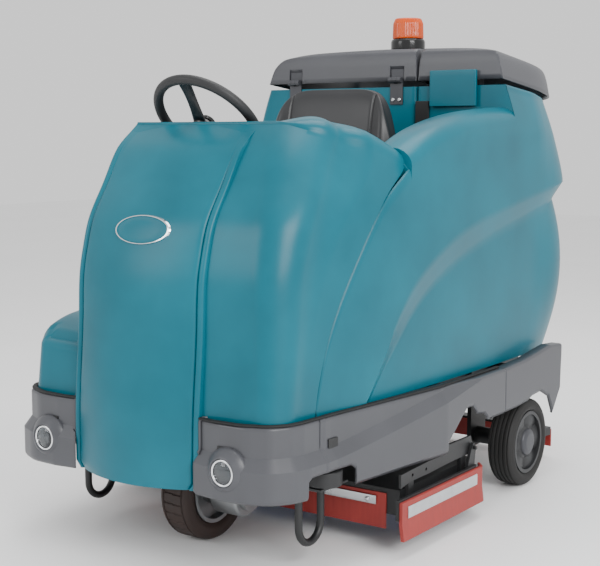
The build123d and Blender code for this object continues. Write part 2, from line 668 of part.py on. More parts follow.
# ---------------------------------------------------------------- skirts and bumpers
def skirt_line():
    """Plan outline of the right-hand skirt from its inner front end to the rear."""
    corner = nose_half_width
    return [(panel_half_width + 4.0, front_y + 52.0), (300.0, front_y + 42.0),
            (corner - 110.0, front_y + 46.0),
            (corner - 40.0, front_y + 78.0), (corner - 8.0, front_y + 130.0), (corner + 4.0, drive_y - 183.0),
            (corner + 11.0, drive_y - 65.0), (half_width, drive_y + 444.0), (half_width, rear_axle_y + 210.0)]


split_y = drive_y + 833.0           # joint between the side skirt and the rear skirt


def arch_cut():
    """Opening over the side blade's linkage."""
    start = deck_front + 225.0
    end = blade_pivot_y + 95.0
    return side_prism([(start, 200.0), (start, 270.0), (start + 43.0, 301.0), (start + 86.0, 335.0),
                       (start + 123.0, 361.0), (end - 109.0, 360.0), (end - 77.0, 330.0), (end - 29.0, 323.0),
                       (end, 297.0), (rear_axle_y, 297.0), (rear_axle_y, 200.0)], 0.0, 700.0)


def make_side_skirt():
    line = skirt_line()
    wall = wall_prism(line, skirt_wall, skirt_bottom, skirt_top)
    lip = wall_prism(line, 34.0, skirt_top - 6.0, skirt_top)
    skirt = wall + lip
    skirt &= block(0, 700.0, front_y, split_y - 2.0, 0, 600.0)
    skirt -= arch_cut()
    roller_bay = block(380.0, 560.0, roller_y - 62.0, roller_y + 62.0, skirt_bottom - 10.0, roller_z + 32.0)
    skirt -= roller_bay
    return skirt - rod_y(light_radius + 5.0, light_x, front_y, front_y + 120.0, light_z)


def make_rear_skirts():
    line = skirt_line()
    wall = wall_prism(line, skirt_wall, skirt_bottom - 20.0, skirt_top)
    lip = wall_prism(line, 24.0, skirt_top - 6.0, skirt_top)
    y = rear_axle_y
    side = [(split_y + 2.0, skirt_top), (split_y + 2.0, 300.0), (y - 134.0, 300.0), (y - 51.0, 308.0),
            (y - 15.0, 318.0), (y + 46.0, 322.0), (y + 111.0, 293.0), (y + 152.0, 226.0), (y + 205.0, 300.0),
            (y + 210.0, 418.0), (y + 160.0, skirt_top)]
    skirt = (wall + lip) & side_prism(side, 0.0, 700.0)
    return group([skirt, mirrored(skirt)])


# ---------------------------------------------------------------- headlights
def make_headlight_housings():
    """A conical bezel on the bumper's face with a barrel through it, one each side."""
    face = front_y + 44.0
    bezel = Pos(light_x, face - 8.0, light_z) * Rot(90, 0, 0) * Cone(60.0, 40.0, 22.0)
    bezel += rod_y(light_radius + 4.5, light_x, face - 2.0, face + 50.0, light_z)
    bezel -= rod_y(light_radius + 0.2, light_x, face - 30.0, face + 44.0, light_z)
    bezel -= make_side_skirt()
    bezel = bezel.solids().sort_by(SortBy.VOLUME)[-1]
    return group([bezel, mirrored(bezel)])


def make_headlight_lenses():
    face = front_y + 44.0
    lens = rod_y(light_radius, light_x, face - 17.0, face - 10.0, light_z)
    reflector = rod_y(light_radius, light_x, face - 10.0, face + 40.0, light_z)
    reflector -= Pos(light_x, face + 4.0, light_z) * Rot(90, 0, 0) * Cone(8.0, light_radius - 3.0, 28.0)
    lamp = lens + reflector
    return group([lamp, mirrored(lamp)])


# ---------------------------------------------------------------- bumper rollers and tie-down loops
roller_x = nose_half_width - 35.0
roller_y = drive_y - 45.0
roller_z = skirt_bottom + 26.0
roller_pin = 8.0
bracket_in = roller_x - 98.0


def make_roller():
    low = roller_z - roller_height / 2
    roller = rod_z(roller_radius, roller_x, roller_y, low, low + roller_height)
    roller = fillet(roller.edges(), 5.0)
    return roller - rod_z(roller_pin + running_clearance, roller_x, roller_y, 200.0, 320.0)


def make_roller_brackets():
    top = roller_z + roller_height / 2 + 2.0
    low = roller_z - roller_height / 2 - 2.0
    bracket = block(bracket_in, roller_x + 22.0, roller_y - 40.0, roller_y + 75.0, top, top + 6.0)
    bracket += block(bracket_in, roller_x + 22.0, roller_y - 50.0, roller_y + 85.0, low - 6.0, low)
    bracket += block(bracket_in, bracket_in + 8.0, roller_y - 40.0, roller_y + 75.0,
                     low - 3.0, frame_bottom + 10.0)
    reach = sorted((rail_out, bracket_in + 4.0))
    bracket += block(reach[0], reach[1], roller_y - 40.0, roller_y + 75.0,
                     frame_bottom + 2.0, frame_bottom + 10.0)
    bracket += rod_z(roller_pin, roller_x, roller_y, low - 4.0, top + 4.0)
    bracket += Pos(roller_x, roller_y, top + 9.0) * Cylinder(14.0, 7.0)
    return group([bracket, mirrored(bracket)])


def make_tie_down_loops():
    """U of round bar; its legs end against the bracket's lower plate."""
    top = roller_z - roller_height / 2 - 8.0
    bend = (loop_width - loop_bar) / 2
    bend_z = 55.0 + loop_bar / 2 + bend
    mid_y = roller_y + 15.0
    x = roller_x - 60.0
    legs = Line((x, mid_y - bend, top), (x, mid_y - bend, bend_z))
    turn = ThreePointArc((x, mid_y - bend, bend_z), (x, mid_y, bend_z - bend), (x, mid_y + bend, bend_z))
    back = Line((x, mid_y + bend, bend_z), (x, mid_y + bend, top))
    path = Wire([legs.edge(), turn.edge(), back.edge()])
    section = Plane(origin=(x, mid_y - bend, top), z_dir=(0, 0, -1)) * Circle(loop_bar / 2)
    loop = sweep(section, path=path)
    return group([loop, mirrored(loop)])


# ---------------------------------------------------------------- seat
def make_seat_rails():
    plate_z = seat_well_top
    plate = block(-306.0, 336.0, well_front + 16.0, well_front + 576.0, plate_z, plate_z + 6.0)
    for x in (-150.0, 150.0):
        plate += block(x - 16.0, x + 16.0, seat_y - 190.0, seat_y + 190.0, plate_z + 6.0, plate_z + 20.0)
    return plate


pan_z = seat_well_top + 20.0
seat_bottom = pan_z + 22.0
back_y = seat_y + seat_depth / 2


def make_seat_pan():
    half = seat_width / 2 - 20.0
    pan = block(-half, half, seat_y - seat_depth / 2 + 20.0, back_y + 40.0, pan_z + 14.0, seat_bottom - 0.3)
    for x in (-150.0, 150.0):
        pan += block(x - 23.0, x + 23.0, seat_y - 150.0, seat_y + 150.0, pan_z + 0.3, pan_z + 15.0)
        pan += block(x - 23.0, x - 16.5, seat_y - 150.0, seat_y + 150.0, pan_z - 11.0, pan_z + 1.0)
        pan += block(x + 16.5, x + 23.0, seat_y - 150.0, seat_y + 150.0, pan_z - 11.0, pan_z + 1.0)
    top = seat_bottom + seat_back_height - 60.0
    shell = [(back_y + 30.0, pan_z + 14.0), (back_y + 90.0, top), (back_y + 98.0, top),
             (back_y + 40.0, pan_z + 14.0)]
    return pan + side_prism(shell, -half + 30.0, half - 30.0)


def make_seat_cushion():
    cushion = block(-seat_width / 2, seat_width / 2, seat_y - seat_depth / 2, back_y - 75.0,
                    seat_bottom, seat_bottom + cushion_height)
    cushion = fillet(cushion.edges().filter_by(Axis.Z), 50.0)
    return fillet(cushion.edges().group_by(Axis.Z)[-1], 25.0)


def make_seat_back():
    low = seat_bottom + 1.0
    top = seat_bottom + seat_back_height + 88.0
    lean = 58.0
    side = [(back_y - 74.0, low), (back_y - 74.0 + lean, top), (back_y + 28.0 + lean, top - 20.0),
            (back_y + 29.4, low)]
    half = seat_width / 2
    front = [(-half + 20.0, low), (-half, low + 120.0), (-half, top - 190.0), (-half + 30.0, top - 70.0),
             (-half + 100.0, top - 10.0), (0.0, top), (half - 100.0, top - 10.0), (half - 30.0, top - 70.0),
             (half, top - 190.0), (half, low + 120.0), (half - 20.0, low)]
    return side_prism(side, -half, half) & front_prism(front, back_y - 200.0, back_y + 300.0)


# ---------------------------------------------------------------- scrub deck
motor_r = 62.0
motor_h = 104.0
brush_names = ("right", "centre", "left")
outer_brush_y = brush_y + brush_stagger
brush_places = ((-brush_pitch, outer_brush_y), (0.0, brush_y), (brush_pitch, outer_brush_y))
arm_length = 280.0
arm_pivot_y = brush_y + brush_stagger + 215.0
arm_pivot_z = 290.0
arm_x = brush_pitch / 2
arm_end_z = 262.0
arm_pin = 7.0
hub_radius = 15.0


def make_deck():
    deck = block(-deck_half, deck_half, deck_front, deck_rear, deck_top - 6.0, deck_top)
    for y in (deck_front, deck_rear - deck_wall):
        deck += block(-deck_half, deck_half, y, y + deck_wall, blade_bottom + 50.0, deck_top)
    side = block(deck_half - deck_wall, deck_half, deck_front, deck_rear, blade_bottom + 50.0, deck_top)
    deck += side
    deck += mirrored(side)
    for x, y in brush_places:
        deck -= rod_z(hub_radius + 4.0, x, y, deck_top - 10.0, deck_top + 2.0)
    end_y = arm_pivot_y - arm_length
    for x in (-arm_x, arm_x):
        for side in (-1, 1):
            ear = x + side * 15.0
            deck += block(ear - 5.0, ear + 5.0, end_y - 16.0, end_y + 16.0, deck_top - 1.0, arm_end_z + 14.0)
        deck += rod_x(arm_pin, x - 15.0, x + 15.0, end_y, arm_end_z)
    for x in (deck_half, -deck_half - 12.0):
        deck += block(x, x + 12.0, deck_front + 30.0, deck_front + 60.0, deck_top - 30.0, deck_top + 40.0)
        deck += block(x, x + 12.0, deck_rear - 110.0, deck_rear - 80.0, deck_top - 30.0, deck_top + 60.0)
    return deck


def make_brush_motors():
    motors = []
    for x, y in brush_places:
        motor = rod_z(motor_r, x, y, deck_top, deck_top + motor_h)
        motor = fillet(motor.edges().sort_by(Axis.Z)[-1], 8.0)
        motor += rod_z(hub_radius, x, y, deck_top - 36.0, deck_top + 1.0)
        motors.append(motor)
    return group(motors)


def make_brush(x, y):
    """Brush block with a driven bore and a ring of bristles below it."""
    block_top = deck_top - 14.0
    brush = rod_z(brush_radius - 8.0, x, y, block_top - 22.0, block_top)
    bristles = Pos(x, y, (block_top - 22.0 + blade_bottom + 12.0) / 2) * Cone(
        brush_radius, brush_radius - 12.0, block_top - 22.0 - blade_bottom - 12.0)
    bristles -= rod_z(70.0, x, y, 0.0, block_top)
    brush += bristles
    return brush - rod_z(hub_radius + running_clearance, x, y, 0.0, 300.0)


def make_deck_flap():
    """Front splash flap in two halves that lap at the middle."""
    z0 = blade_bottom + 5.0
    z1 = blade_top - 4.0
    reach = deck_half - 44.0
    front = block(-reach, 30.0, deck_front - 10.0, deck_front - 5.0, z0, z1)
    rear = block(-30.0, reach, deck_front - 5.0, deck_front, z0, z1)
    return group([front, rear])


blade_pivot_y = deck_rear - 62.0
blade_pivot_z = 226.0
blade_pin = 6.0
arm_plate_x = blade_x - 44.0
blade_front = deck_front - 78.0


def make_blade_arms():
    """Fixed stepped arms on the deck's ends, each with the pin that a blade carrier hangs on."""
    y = deck_front
    outline = [(y - 26.0, 191.0), (y - 26.0, 231.0), (y + 137.0, 238.0),
               (y + 229.0, 236.0), (y + 248.0, 262.0),
               (blade_pivot_y + 2.0, 262.0), (blade_pivot_y + 19.0, 226.0), (blade_pivot_y - 14.0, 206.0),
               (y + 263.0, 205.0), (y + 135.0, 200.0), (y + 27.0, 200.0)]
    arm = side_prism(outline, arm_plate_x, arm_plate_x + 8.0)
    for hole in (y + 40.0, y + 120.0):
        arm -= rod_x(5.0, arm_plate_x - 5.0, arm_plate_x + 20.0, hole, 217.0)
    arm += rod_x(blade_pin, arm_plate_x + 4.0, arm_plate_x + 30.0, blade_pivot_y, blade_pivot_z)
    return group([arm, mirrored(arm)])


def blade_line():
    """The blade runs back along the machine's side and turns in at its rear end."""
    x = blade_x
    rear = deck_rear - 20.0
    return [(x, blade_front), (x, rear - 40.0), (x - 10.0, rear - 8.0), (x - 32.0, rear + 14.0)]


def make_side_blade():
    return wall_prism(blade_line(), blade_thickness, blade_bottom, blade_top)


def make_blade_carrier():
    inner = offset_line(blade_line(), blade_thickness + 0.3)
    carrier = wall_prism(inner[:2], 10.0, blade_top - 55.0, blade_top + 6.0)
    ear_x = arm_plate_x + 10.0
    ear = side_prism([(blade_pivot_y - 45.0, blade_top - 10.0), (blade_pivot_y + 5.0, blade_top - 10.0),
                      (blade_pivot_y + 16.0, blade_pivot_z), (blade_pivot_y, blade_pivot_z + 15.0),
                      (blade_pivot_y - 14.0, blade_pivot_z)], ear_x, ear_x + 10.0)
    foot = block(ear_x, inner[0][0] - 4.0, blade_pivot_y - 45.0, blade_pivot_y + 5.0,
                 blade_top - 10.0, blade_top + 6.0)
    carrier += ear
    carrier += foot
    bore = rod_x(blade_pin + running_clearance, ear_x - 5.0, ear_x + 20.0, blade_pivot_y, blade_pivot_z)
    return carrier - bore


def make_lift_arms():
    """Two trailing arms on one cross tube; the deck hangs on their front ends."""
    end_y = arm_pivot_y - arm_length
    arms = rod_x(13.0, -arm_x - 40.0, arm_x + 40.0, arm_pivot_y, arm_pivot_z)
    drop = atan2(arm_pivot_z - arm_end_z, arm_length)
    for x in (-arm_x, arm_x):
        bar = Pos(x, (arm_pivot_y + end_y) / 2, (arm_pivot_z + arm_end_z) / 2) * Rot(degrees(drop), 0, 0)
        arms += bar * Box(14.0, arm_length / cos(drop), 22.0)
        arms += rod_x(13.0, x - 7.0, x + 7.0, end_y, arm_end_z)
    arms += block(-14.0, 14.0, arm_pivot_y - 8.0, arm_pivot_y + 8.0,
                  arm_pivot_z - lever_length - 8.0, arm_pivot_z)
    for x in (-arm_x, arm_x):
        arms -= rod_x(arm_pin + running_clearance, x - 20.0, x + 20.0, end_y, arm_end_z)
    return arms - rod_x(8.0 + running_clearance, -arm_x - 60.0, arm_x + 60.0, arm_pivot_y, arm_pivot_z)


def make_arm_hanger():
    """Bracket pair under the chassis that carries the lift arms' cross shaft."""
    hanger = rod_x(8.0, -arm_x - 60.0, arm_x + 60.0, arm_pivot_y, arm_pivot_z)
    for x in (-arm_x - 52.0, arm_x + 42.0):
        hanger += block(x, x + 10.0, arm_pivot_y - 20.0, arm_pivot_y + 20.0,
                        arm_pivot_z - 14.0, frame_top - 10.0)
    cross_member = block(-rail_in, rail_in, arm_pivot_y - 20.0, arm_pivot_y + 20.0,
                         frame_bottom + 5.0, frame_top)
    return hanger + cross_member


lever_length = 60.0
actuator_z = arm_pivot_z - lever_length + 5.0
actuator_y = arm_pivot_y + 190.0
rod_radius = 11.0


def make_actuator():
    """Linear actuator along the machine, hung from a cross-member behind the lift arms."""
    body = rod_y(24.0, 0, arm_pivot_y + 80.0, actuator_y + 20.0, actuator_z)
    body += block(-16.0, 16.0, actuator_y - 16.0, actuator_y + 16.0, actuator_z, frame_bottom + 5.0)
    return body - rod_y(rod_radius + running_clearance, 0, arm_pivot_y, actuator_y + 4.0, actuator_z)


def make_actuator_rod():
    """The rod's shoe stands just behind the arms' lever, at the linkage's open pivot."""
    rod = rod_y(rod_radius, 0, arm_pivot_y + 12.0, actuator_y - 24.0, actuator_z)
    return rod + rod_y(16.0, 0, arm_pivot_y + 11.0, arm_pivot_y + 20.0, actuator_z)


# ---------------------------------------------------------------- squeegee
squeegee_half = 462.0
squeegee_y = rear_axle_y + 375.0
squeegee_pivot_y = rear_axle_y + 106.0
squeegee_pivot_z = 300.0
squeegee_lift = 40.0
squeegee_pin = 8.0
elbow_depth = 30.0          # suction elbow on the squeegee's bar, with its hose spigot facing aft
elbow_z = squeegee_lift + 110.0
spigot_length = 45.0


def squeegee_line(y):
    half = squeegee_half
    return [(half, y - 34.0), (half * 0.6, y - 10.0), (0.0, y), (-half * 0.6, y - 10.0), (-half, y - 34.0)]


def make_squeegee_frame():
    bar = wall_prism(squeegee_line(squeegee_y), -50.0, squeegee_lift + 45.0, squeegee_lift + 75.0)
    arm = side_prism([(squeegee_pivot_y - 14.0, squeegee_pivot_z - 14.0),
                      (squeegee_pivot_y + 14.0, squeegee_pivot_z + 14.0),
                      (squeegee_y + 18.0, squeegee_lift + 115.0), (squeegee_y + 18.0, squeegee_lift + 70.0),
                      (squeegee_y - 20.0, squeegee_lift + 70.0)], 33.0, 45.0)
    frame = bar + arm
    frame += mirrored(arm)
    elbow_rear = squeegee_y + elbow_depth
    frame += block(-30.0, 30.0, squeegee_y + 4.0, elbow_rear, squeegee_lift + 70.0, elbow_z + 30.0)
    frame += rod_y(hose_spigot, 0, elbow_rear - 1.0, elbow_rear + spigot_length, elbow_z)
    frame -= rod_y(hose_spigot - 5.0, 0, squeegee_y + 12.0, elbow_rear + spigot_length + 1.0, elbow_z)
    return frame - rod_x(squeegee_pin + running_clearance, -80.0, 80.0, squeegee_pivot_y, squeegee_pivot_z)


def make_squeegee_blades():
    z0 = squeegee_lift
    z1 = squeegee_lift + 66.0
    front = wall_prism(squeegee_line(squeegee_y - 0.3), 5.0, z0, z1)
    rear = wall_prism(offset_line(squeegee_line(squeegee_y), -50.3), -5.0, z0, z1)
    return group([front, rear])


# ---------------------------------------------------------------- visible fasteners
def make_body_bolts():
    """Dome-head bolts on the hinge leaves."""
    bolts = []
    for x in hinge_xs:
        for side in (-1, 1):
            head = rod_y(6.5, x + side * 13.0, tank_y - 9.0, tank_y - 5.0, tank_top - 46.0)
            bolts.append(fillet(head.edges().sort_by(Axis.Y)[0], 2.5))
    return group(bolts)


# ---------------------------------------------------------------- every node
rear_rim_radius = 107.0
drive_rim_radius = 100.0
rear_x = half_width - 5.0 - tyre_width / 2

squeegee_shaft = rod_x(squeegee_pin, -60.0, 60.0, squeegee_pivot_y, squeegee_pivot_z)
tyre_left = make_tyre(rear_x, rear_axle_y, tyre_width, rear_rim_radius, 5)
rim_left = make_rim(rear_x, rear_axle_y, tyre_width, rear_rim_radius, axle_radius + running_clearance, 30.0)
roller = make_roller()
skirt_left = make_side_skirt()
blade_left = make_side_blade()
carrier_left = make_blade_carrier()

nodes = {
    "chassis_frame": make_chassis() + make_arm_hanger() + squeegee_shaft,
    "floor_plate": make_floor_plate(),
    "battery_blocks": make_batteries(),
    "front_hood": make_hood(),
    "dash_console": make_console(),
    "steering_column": make_column(),
    "steering_wheel": make_steering_wheel(),
    "horn_button": make_horn(),
    "emergency_stop": make_stop(),
    "ignition_key": make_key(),
    "accelerator_pedal": make_pedal(pedal_xs[0], 90.0, 190.0),
    "brake_pedal": make_pedal(pedal_xs[1], 70.0, 120.0),
    "slew_ring": make_slew_ring(),
    "steering_fork": make_fork(),
    "drive_motor": make_drive_motor(),
    "drive_rim": make_rim(0.0, drive_y, drive_tyre_width, drive_rim_radius,
                          axle_radius + 3.0 + running_clearance, 26.0),
    "drive_tyre": make_tyre(0.0, drive_y, drive_tyre_width, drive_rim_radius, 0),
    "rear_tyre_left": tyre_left,
    "rear_tyre_right": mirrored(tyre_left),
    "rear_rim_left": rim_left,
    "rear_rim_right": mirrored(rim_left),
    "solution_tank": make_solution_tank(),
    "recovery_tank": make_recovery_tank(),
    "vacuum_motor": make_vacuum_motor(),
    "recovery_lid": make_recovery_lid(),
    "fill_lid": make_fill_lid(),
    "lid_hinge_leaves": make_hinge_leaves(),
    "lid_hinge_knuckles": make_hinge_knuckles(),
    "beacon_base": make_beacon_base(),
    "beacon_lens": make_beacon_lens(),
    "side_skirt_left": skirt_left,
    "side_skirt_right": mirrored(skirt_left),
    "rear_skirts": make_rear_skirts(),
    "headlight_housings": make_headlight_housings(),
    "headlight_lenses": make_headlight_lenses(),
    "bumper_roller_left": roller,
    "bumper_roller_right": mirrored(roller),
    "roller_brackets": make_roller_brackets(),
    "tie_down_loops": make_tie_down_loops(),
    "seat_rails": make_seat_rails(),
    "seat_pan": make_seat_pan(),
    "seat_cushion": make_seat_cushion(),
    "seat_back": make_seat_back(),
    "deck_housing": make_deck(),
    "brush_motors": make_brush_motors(),
    "deck_flap": make_deck_flap(),
    "blade_arms": make_blade_arms(),
    "side_blade_left": blade_left,
    "side_blade_right": mirrored(blade_left),
    "blade_carrier_left": carrier_left,
    "blade_carrier_right": mirrored(carrier_left),
    "lift_arms": make_lift_arms(),
    "lift_actuator": make_actuator(),
    "actuator_rod": make_actuator_rod(),
    "squeegee_frame": make_squeegee_frame(),
    "squeegee_blades": make_squeegee_blades(),
    "body_bolts": make_body_bolts(),
}
for name, place in zip(brush_names, brush_places):
    nodes["brush_" + name] = make_brush(*place)

for name, shape in nodes.items():
    solids = shape.solids()
    export_step(solids[0] if len(solids) == 1 else Compound(children=list(solids)), f"parts/{name}.step")
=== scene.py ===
import json
import math

import bmesh
import bpy
import numpy as np
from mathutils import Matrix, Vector


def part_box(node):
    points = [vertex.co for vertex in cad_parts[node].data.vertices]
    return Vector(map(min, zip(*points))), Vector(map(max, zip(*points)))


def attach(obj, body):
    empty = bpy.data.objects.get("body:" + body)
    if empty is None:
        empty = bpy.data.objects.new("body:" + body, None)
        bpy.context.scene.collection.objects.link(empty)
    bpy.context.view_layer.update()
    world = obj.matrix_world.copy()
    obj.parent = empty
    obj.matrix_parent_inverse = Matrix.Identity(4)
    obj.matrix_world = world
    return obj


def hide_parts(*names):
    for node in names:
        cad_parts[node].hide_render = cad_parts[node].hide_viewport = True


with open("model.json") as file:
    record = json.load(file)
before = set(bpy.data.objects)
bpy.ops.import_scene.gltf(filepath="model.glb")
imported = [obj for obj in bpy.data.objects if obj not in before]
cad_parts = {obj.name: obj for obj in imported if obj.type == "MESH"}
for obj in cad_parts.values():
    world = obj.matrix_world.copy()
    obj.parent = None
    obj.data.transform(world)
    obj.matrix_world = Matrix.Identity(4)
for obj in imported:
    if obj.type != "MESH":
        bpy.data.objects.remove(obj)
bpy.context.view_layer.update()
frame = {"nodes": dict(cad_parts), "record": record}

cad = frame["nodes"]

# ---------------------------------------------------------------- camera
# A long lens a little above the steering wheel, off the machine's front left corner, looking slightly down.
camera_data = bpy.data.cameras.new("camera")
camera_data.lens = 74.75
camera = bpy.data.objects.new("camera", camera_data)
camera.location = (2.3436, -3.4062, 1.2096)
camera.rotation_euler = (math.radians(83.12), 0.0, math.radians(35.29))
bpy.context.scene.collection.objects.link(camera)
bpy.context.scene.camera = camera


# ---------------------------------------------------------------- floor and light
# A pale seamless floor under one broad light from the machine's left, a softer one ahead of it and a white room.
def linear(hex_colour):
    """sRGB hex to the linear colour that a shader reads."""
    parts = np.array([int(hex_colour[i:i + 2], 16) for i in (1, 3, 5)]) / 255.0
    bright = np.where(parts <= 0.04045, parts / 12.92, ((parts + 0.055) / 1.055) ** 2.4)
    return (*bright.tolist(), 1.0)


def add(tree, kind, inputs=None, **settings):
    """Adds one node. An input's value is a number, a colour or the socket that feeds it."""
    made = tree.nodes.new(kind)
    for name, value in settings.items():
        setattr(made, name, value)
    for name, value in (inputs or {}).items():
        if isinstance(value, bpy.types.NodeSocket):
            tree.links.new(value, made.inputs[name])
        else:
            made.inputs[name].default_value = value
    return made


def start_material(name, roughness, colour="#808080", **shader_values):
    """A new material with its shader and the Object coordinates that its patterns read, in metres."""
    material = bpy.data.materials.new(name)
    material.use_nodes = True
    tree = material.node_tree
    shader = tree.nodes["Principled BSDF"]
    shader.inputs["Roughness"].default_value = roughness
    shader.inputs["Base Color"].default_value = linear(colour)
    for key, value in shader_values.items():
        shader.inputs[key.replace("_", " ")].default_value = value
    material.diffuse_color = linear(colour)
    return material, tree, shader, tree.nodes.new("ShaderNodeTexCoord").outputs["Object"]


def per_mm(size):
    """The scale that draws a pattern's features this many millimetres apart."""
    return 1000.0 / size


def two_tones(tree, shader, factor, first, second):
    """Base colour that goes from one hex colour to another with a factor."""
    mix = add(tree, "ShaderNodeMix", {0: factor, 6: linear(first), 7: linear(second)}, data_type="RGBA")
    tree.links.new(mix.outputs[2], shader.inputs["Base Color"])
    return mix


def relief(tree, shader, height, depth_mm, strength=1.0):
    """Bump of a real depth from a height pattern that runs from 0 to 1."""
    bump = add(tree, "ShaderNodeBump", {"Height": height, "Distance": depth_mm / 1000.0, "Strength": strength})
    tree.links.new(bump.outputs[0], shader.inputs["Normal"])


def rough_between(tree, shader, factor, low, high):
    """Roughness that goes from low to high with a factor."""
    spread = add(tree, "ShaderNodeMapRange", {"Value": factor, "To Min": low, "To Max": high})
    tree.links.new(spread.outputs[0], shader.inputs["Roughness"])


def pale_screed():
    # Sealed white screed: almost even, with very soft clouds left by the float.
    material, tree, shader, place = start_material("pale_screed", 0.55)
    cloud = add(tree, "ShaderNodeTexNoise", {"Vector": place, "Scale": per_mm(900.0), "Detail": 3.0})
    two_tones(tree, shader, cloud.outputs[0], "#F4F4F4", "#FAFAFA")
    return material


def grid_mesh(name, points, material, inside=None, sharp_angle=38.0):
    """A surface from an array of rows and columns of points, as quads between neighbours.
    Coincident points are merged, which closes seams and poles. Faces are turned away from the point inside,
    or, for a closed form, so that its volume is positive."""
    points = np.asarray(points, float)
    rows, columns = points.shape[:2]
    corner = (np.arange(rows - 1)[:, None] * columns + np.arange(columns - 1)[None, :]).ravel()
    faces = np.stack([corner, corner + 1, corner + columns + 1, corner + columns], 1)
    flat = points.reshape(-1, 3)
    across = np.cross(flat[faces[:, 2]] - flat[faces[:, 0]], flat[faces[:, 3]] - flat[faces[:, 1]])
    middle = flat[faces].mean(1)
    start = np.asarray(inside, float) if inside is not None else flat.mean(0)
    if ((middle - start) * across).sum() < 0:
        faces = faces[:, ::-1]
    mesh = bpy.data.meshes.new(name)
    mesh.from_pydata(flat.tolist(), [], faces.tolist())
    work = bmesh.new()
    work.from_mesh(mesh)
    bmesh.ops.remove_doubles(work, verts=work.verts, dist=2e-6)
    bmesh.ops.dissolve_degenerate(work, edges=work.edges, dist=1e-6)
    work.to_mesh(mesh)
    work.free()
    mesh.polygons.foreach_set("use_smooth", np.ones(len(mesh.polygons), bool))
    mesh.set_sharp_from_angle(angle=math.radians(sharp_angle))
    mesh.materials.append(material)
    piece = bpy.data.objects.new(name, mesh)
    bpy.context.scene.collection.objects.link(piece)
    return piece


floor_half = 14.0
floor_x, floor_y = np.meshgrid(np.linspace(-floor_half, floor_half, 3), np.linspace(-floor_half, floor_half, 3))
floor = grid_mesh("studio_floor", np.stack([floor_x, floor_y, np.full((3, 3), -0.001)], -1), pale_screed(),
                  inside=(0.0, 0.0, -5.0))

world = bpy.data.worlds.new("white_room")
world.use_nodes = True
world.node_tree.nodes["Background"].inputs["Color"].default_value = linear("#FFFFFF")
world.node_tree.nodes["Background"].inputs["Strength"].default_value = 1.05
bpy.context.scene.world = world

lights = {"left_softbox": ((5.2, -2.6, 3.6), 3.2, 330.0), "front_softbox": ((-2.6, -5.4, 3.2), 2.6, 90.0),
          "top_softbox": ((0.4, 0.6, 5.0), 3.4, 150.0)}
for name, (place, size, power) in lights.items():
    lamp_data = bpy.data.lights.new(name, "AREA")
    lamp_data.size = size
    lamp_data.energy = power
    lamp = bpy.data.objects.new(name, lamp_data)
    lamp.location = place
    lamp.rotation_euler = (Vector((0.0, 0.0, 0.6)) - Vector(place)).to_track_quat("-Z", "Y").to_euler()
    bpy.context.scene.collection.objects.link(lamp)


# ---------------------------------------------------------------- front hood
# One rotomoulded polyethylene cowl: the sloping nose wall that turns the corner into the closed left wing,
# and its inner wall round the operator. It bolts down on the chassis, and ends at the seam with the tank.
def smooth_curve(knots, values, at):
    """Natural cubic spline through every value: its bend changes evenly and is nil at both ends."""
    knots, values, at = np.asarray(knots, float), np.asarray(values, float), np.asarray(at, float)
    gap, count = np.diff(knots), len(knots)
    system, right, inner = np.eye(count), np.zeros(count), np.arange(1, count - 1)
    system[inner, inner - 1], system[inner, inner + 1] = gap[:-1], gap[1:]
    system[inner, inner] = 2.0 * (gap[:-1] + gap[1:])
    right[1:-1] = 6.0 * np.diff(np.diff(values) / gap)
    bend = np.linalg.solve(system, right)
    i = np.clip(np.searchsorted(knots, at) - 1, 0, count - 2)
    a, b, h = knots[i + 1] - at, at - knots[i], gap[i]
    curve = (bend[i] * a ** 3 + bend[i + 1] * b ** 3) / (6.0 * h)
    return curve + (values[i] / h - bend[i] * h / 6.0) * a + (values[i + 1] / h - bend[i + 1] * h / 6.0) * b


def ease(x, low, high):
    """0 below low, 1 above high, and a smooth rise between them."""
    share = np.clip((x - low) / (high - low), 0.0, 1.0)
    return share * share * (3.0 - 2.0 * share)


def nose_y(z):
    """How far ahead the nose wall stands at a height: upright below, and lying back to the rim."""
    heights = [0.24, 0.45, 0.70, 0.83, 0.90, 0.97, 1.016, 1.07, 1.144, 1.194, 1.26]
    return smooth_curve(heights, [-.876, -.875, -.858, -.850, -.834, -.811, -.784, -.747, -.699, -.657, -.588], z)


def side_x(y):
    """Half width of the body at a distance along the machine."""
    return smooth_curve([-0.76, -0.73, -0.516, -0.25, 0.21, 0.60], [.468, .470, .503, .530, .540, .540], y)


def seam_y(z):
    """The seam between hood and tank leans back as it rises, then turns forward near the rim."""
    return smooth_curve([.43, .474, .587, .687, .787, .888, .991, 1.060, 1.108, 1.170],
                        [-.694, -.690, -.663, -.627, -.575, -.511, -.434, -.354, -.285, -.282], z)


def hood_top(y):
    """Height of the hood's rim: level ahead of the steering wheel, a crest at the corner, then falling aft."""
    return smooth_curve([-.63, -.60, -.55, -.448, -.361, -.28], [1.244, 1.247, 1.253, 1.236, 1.214, 1.170], y)


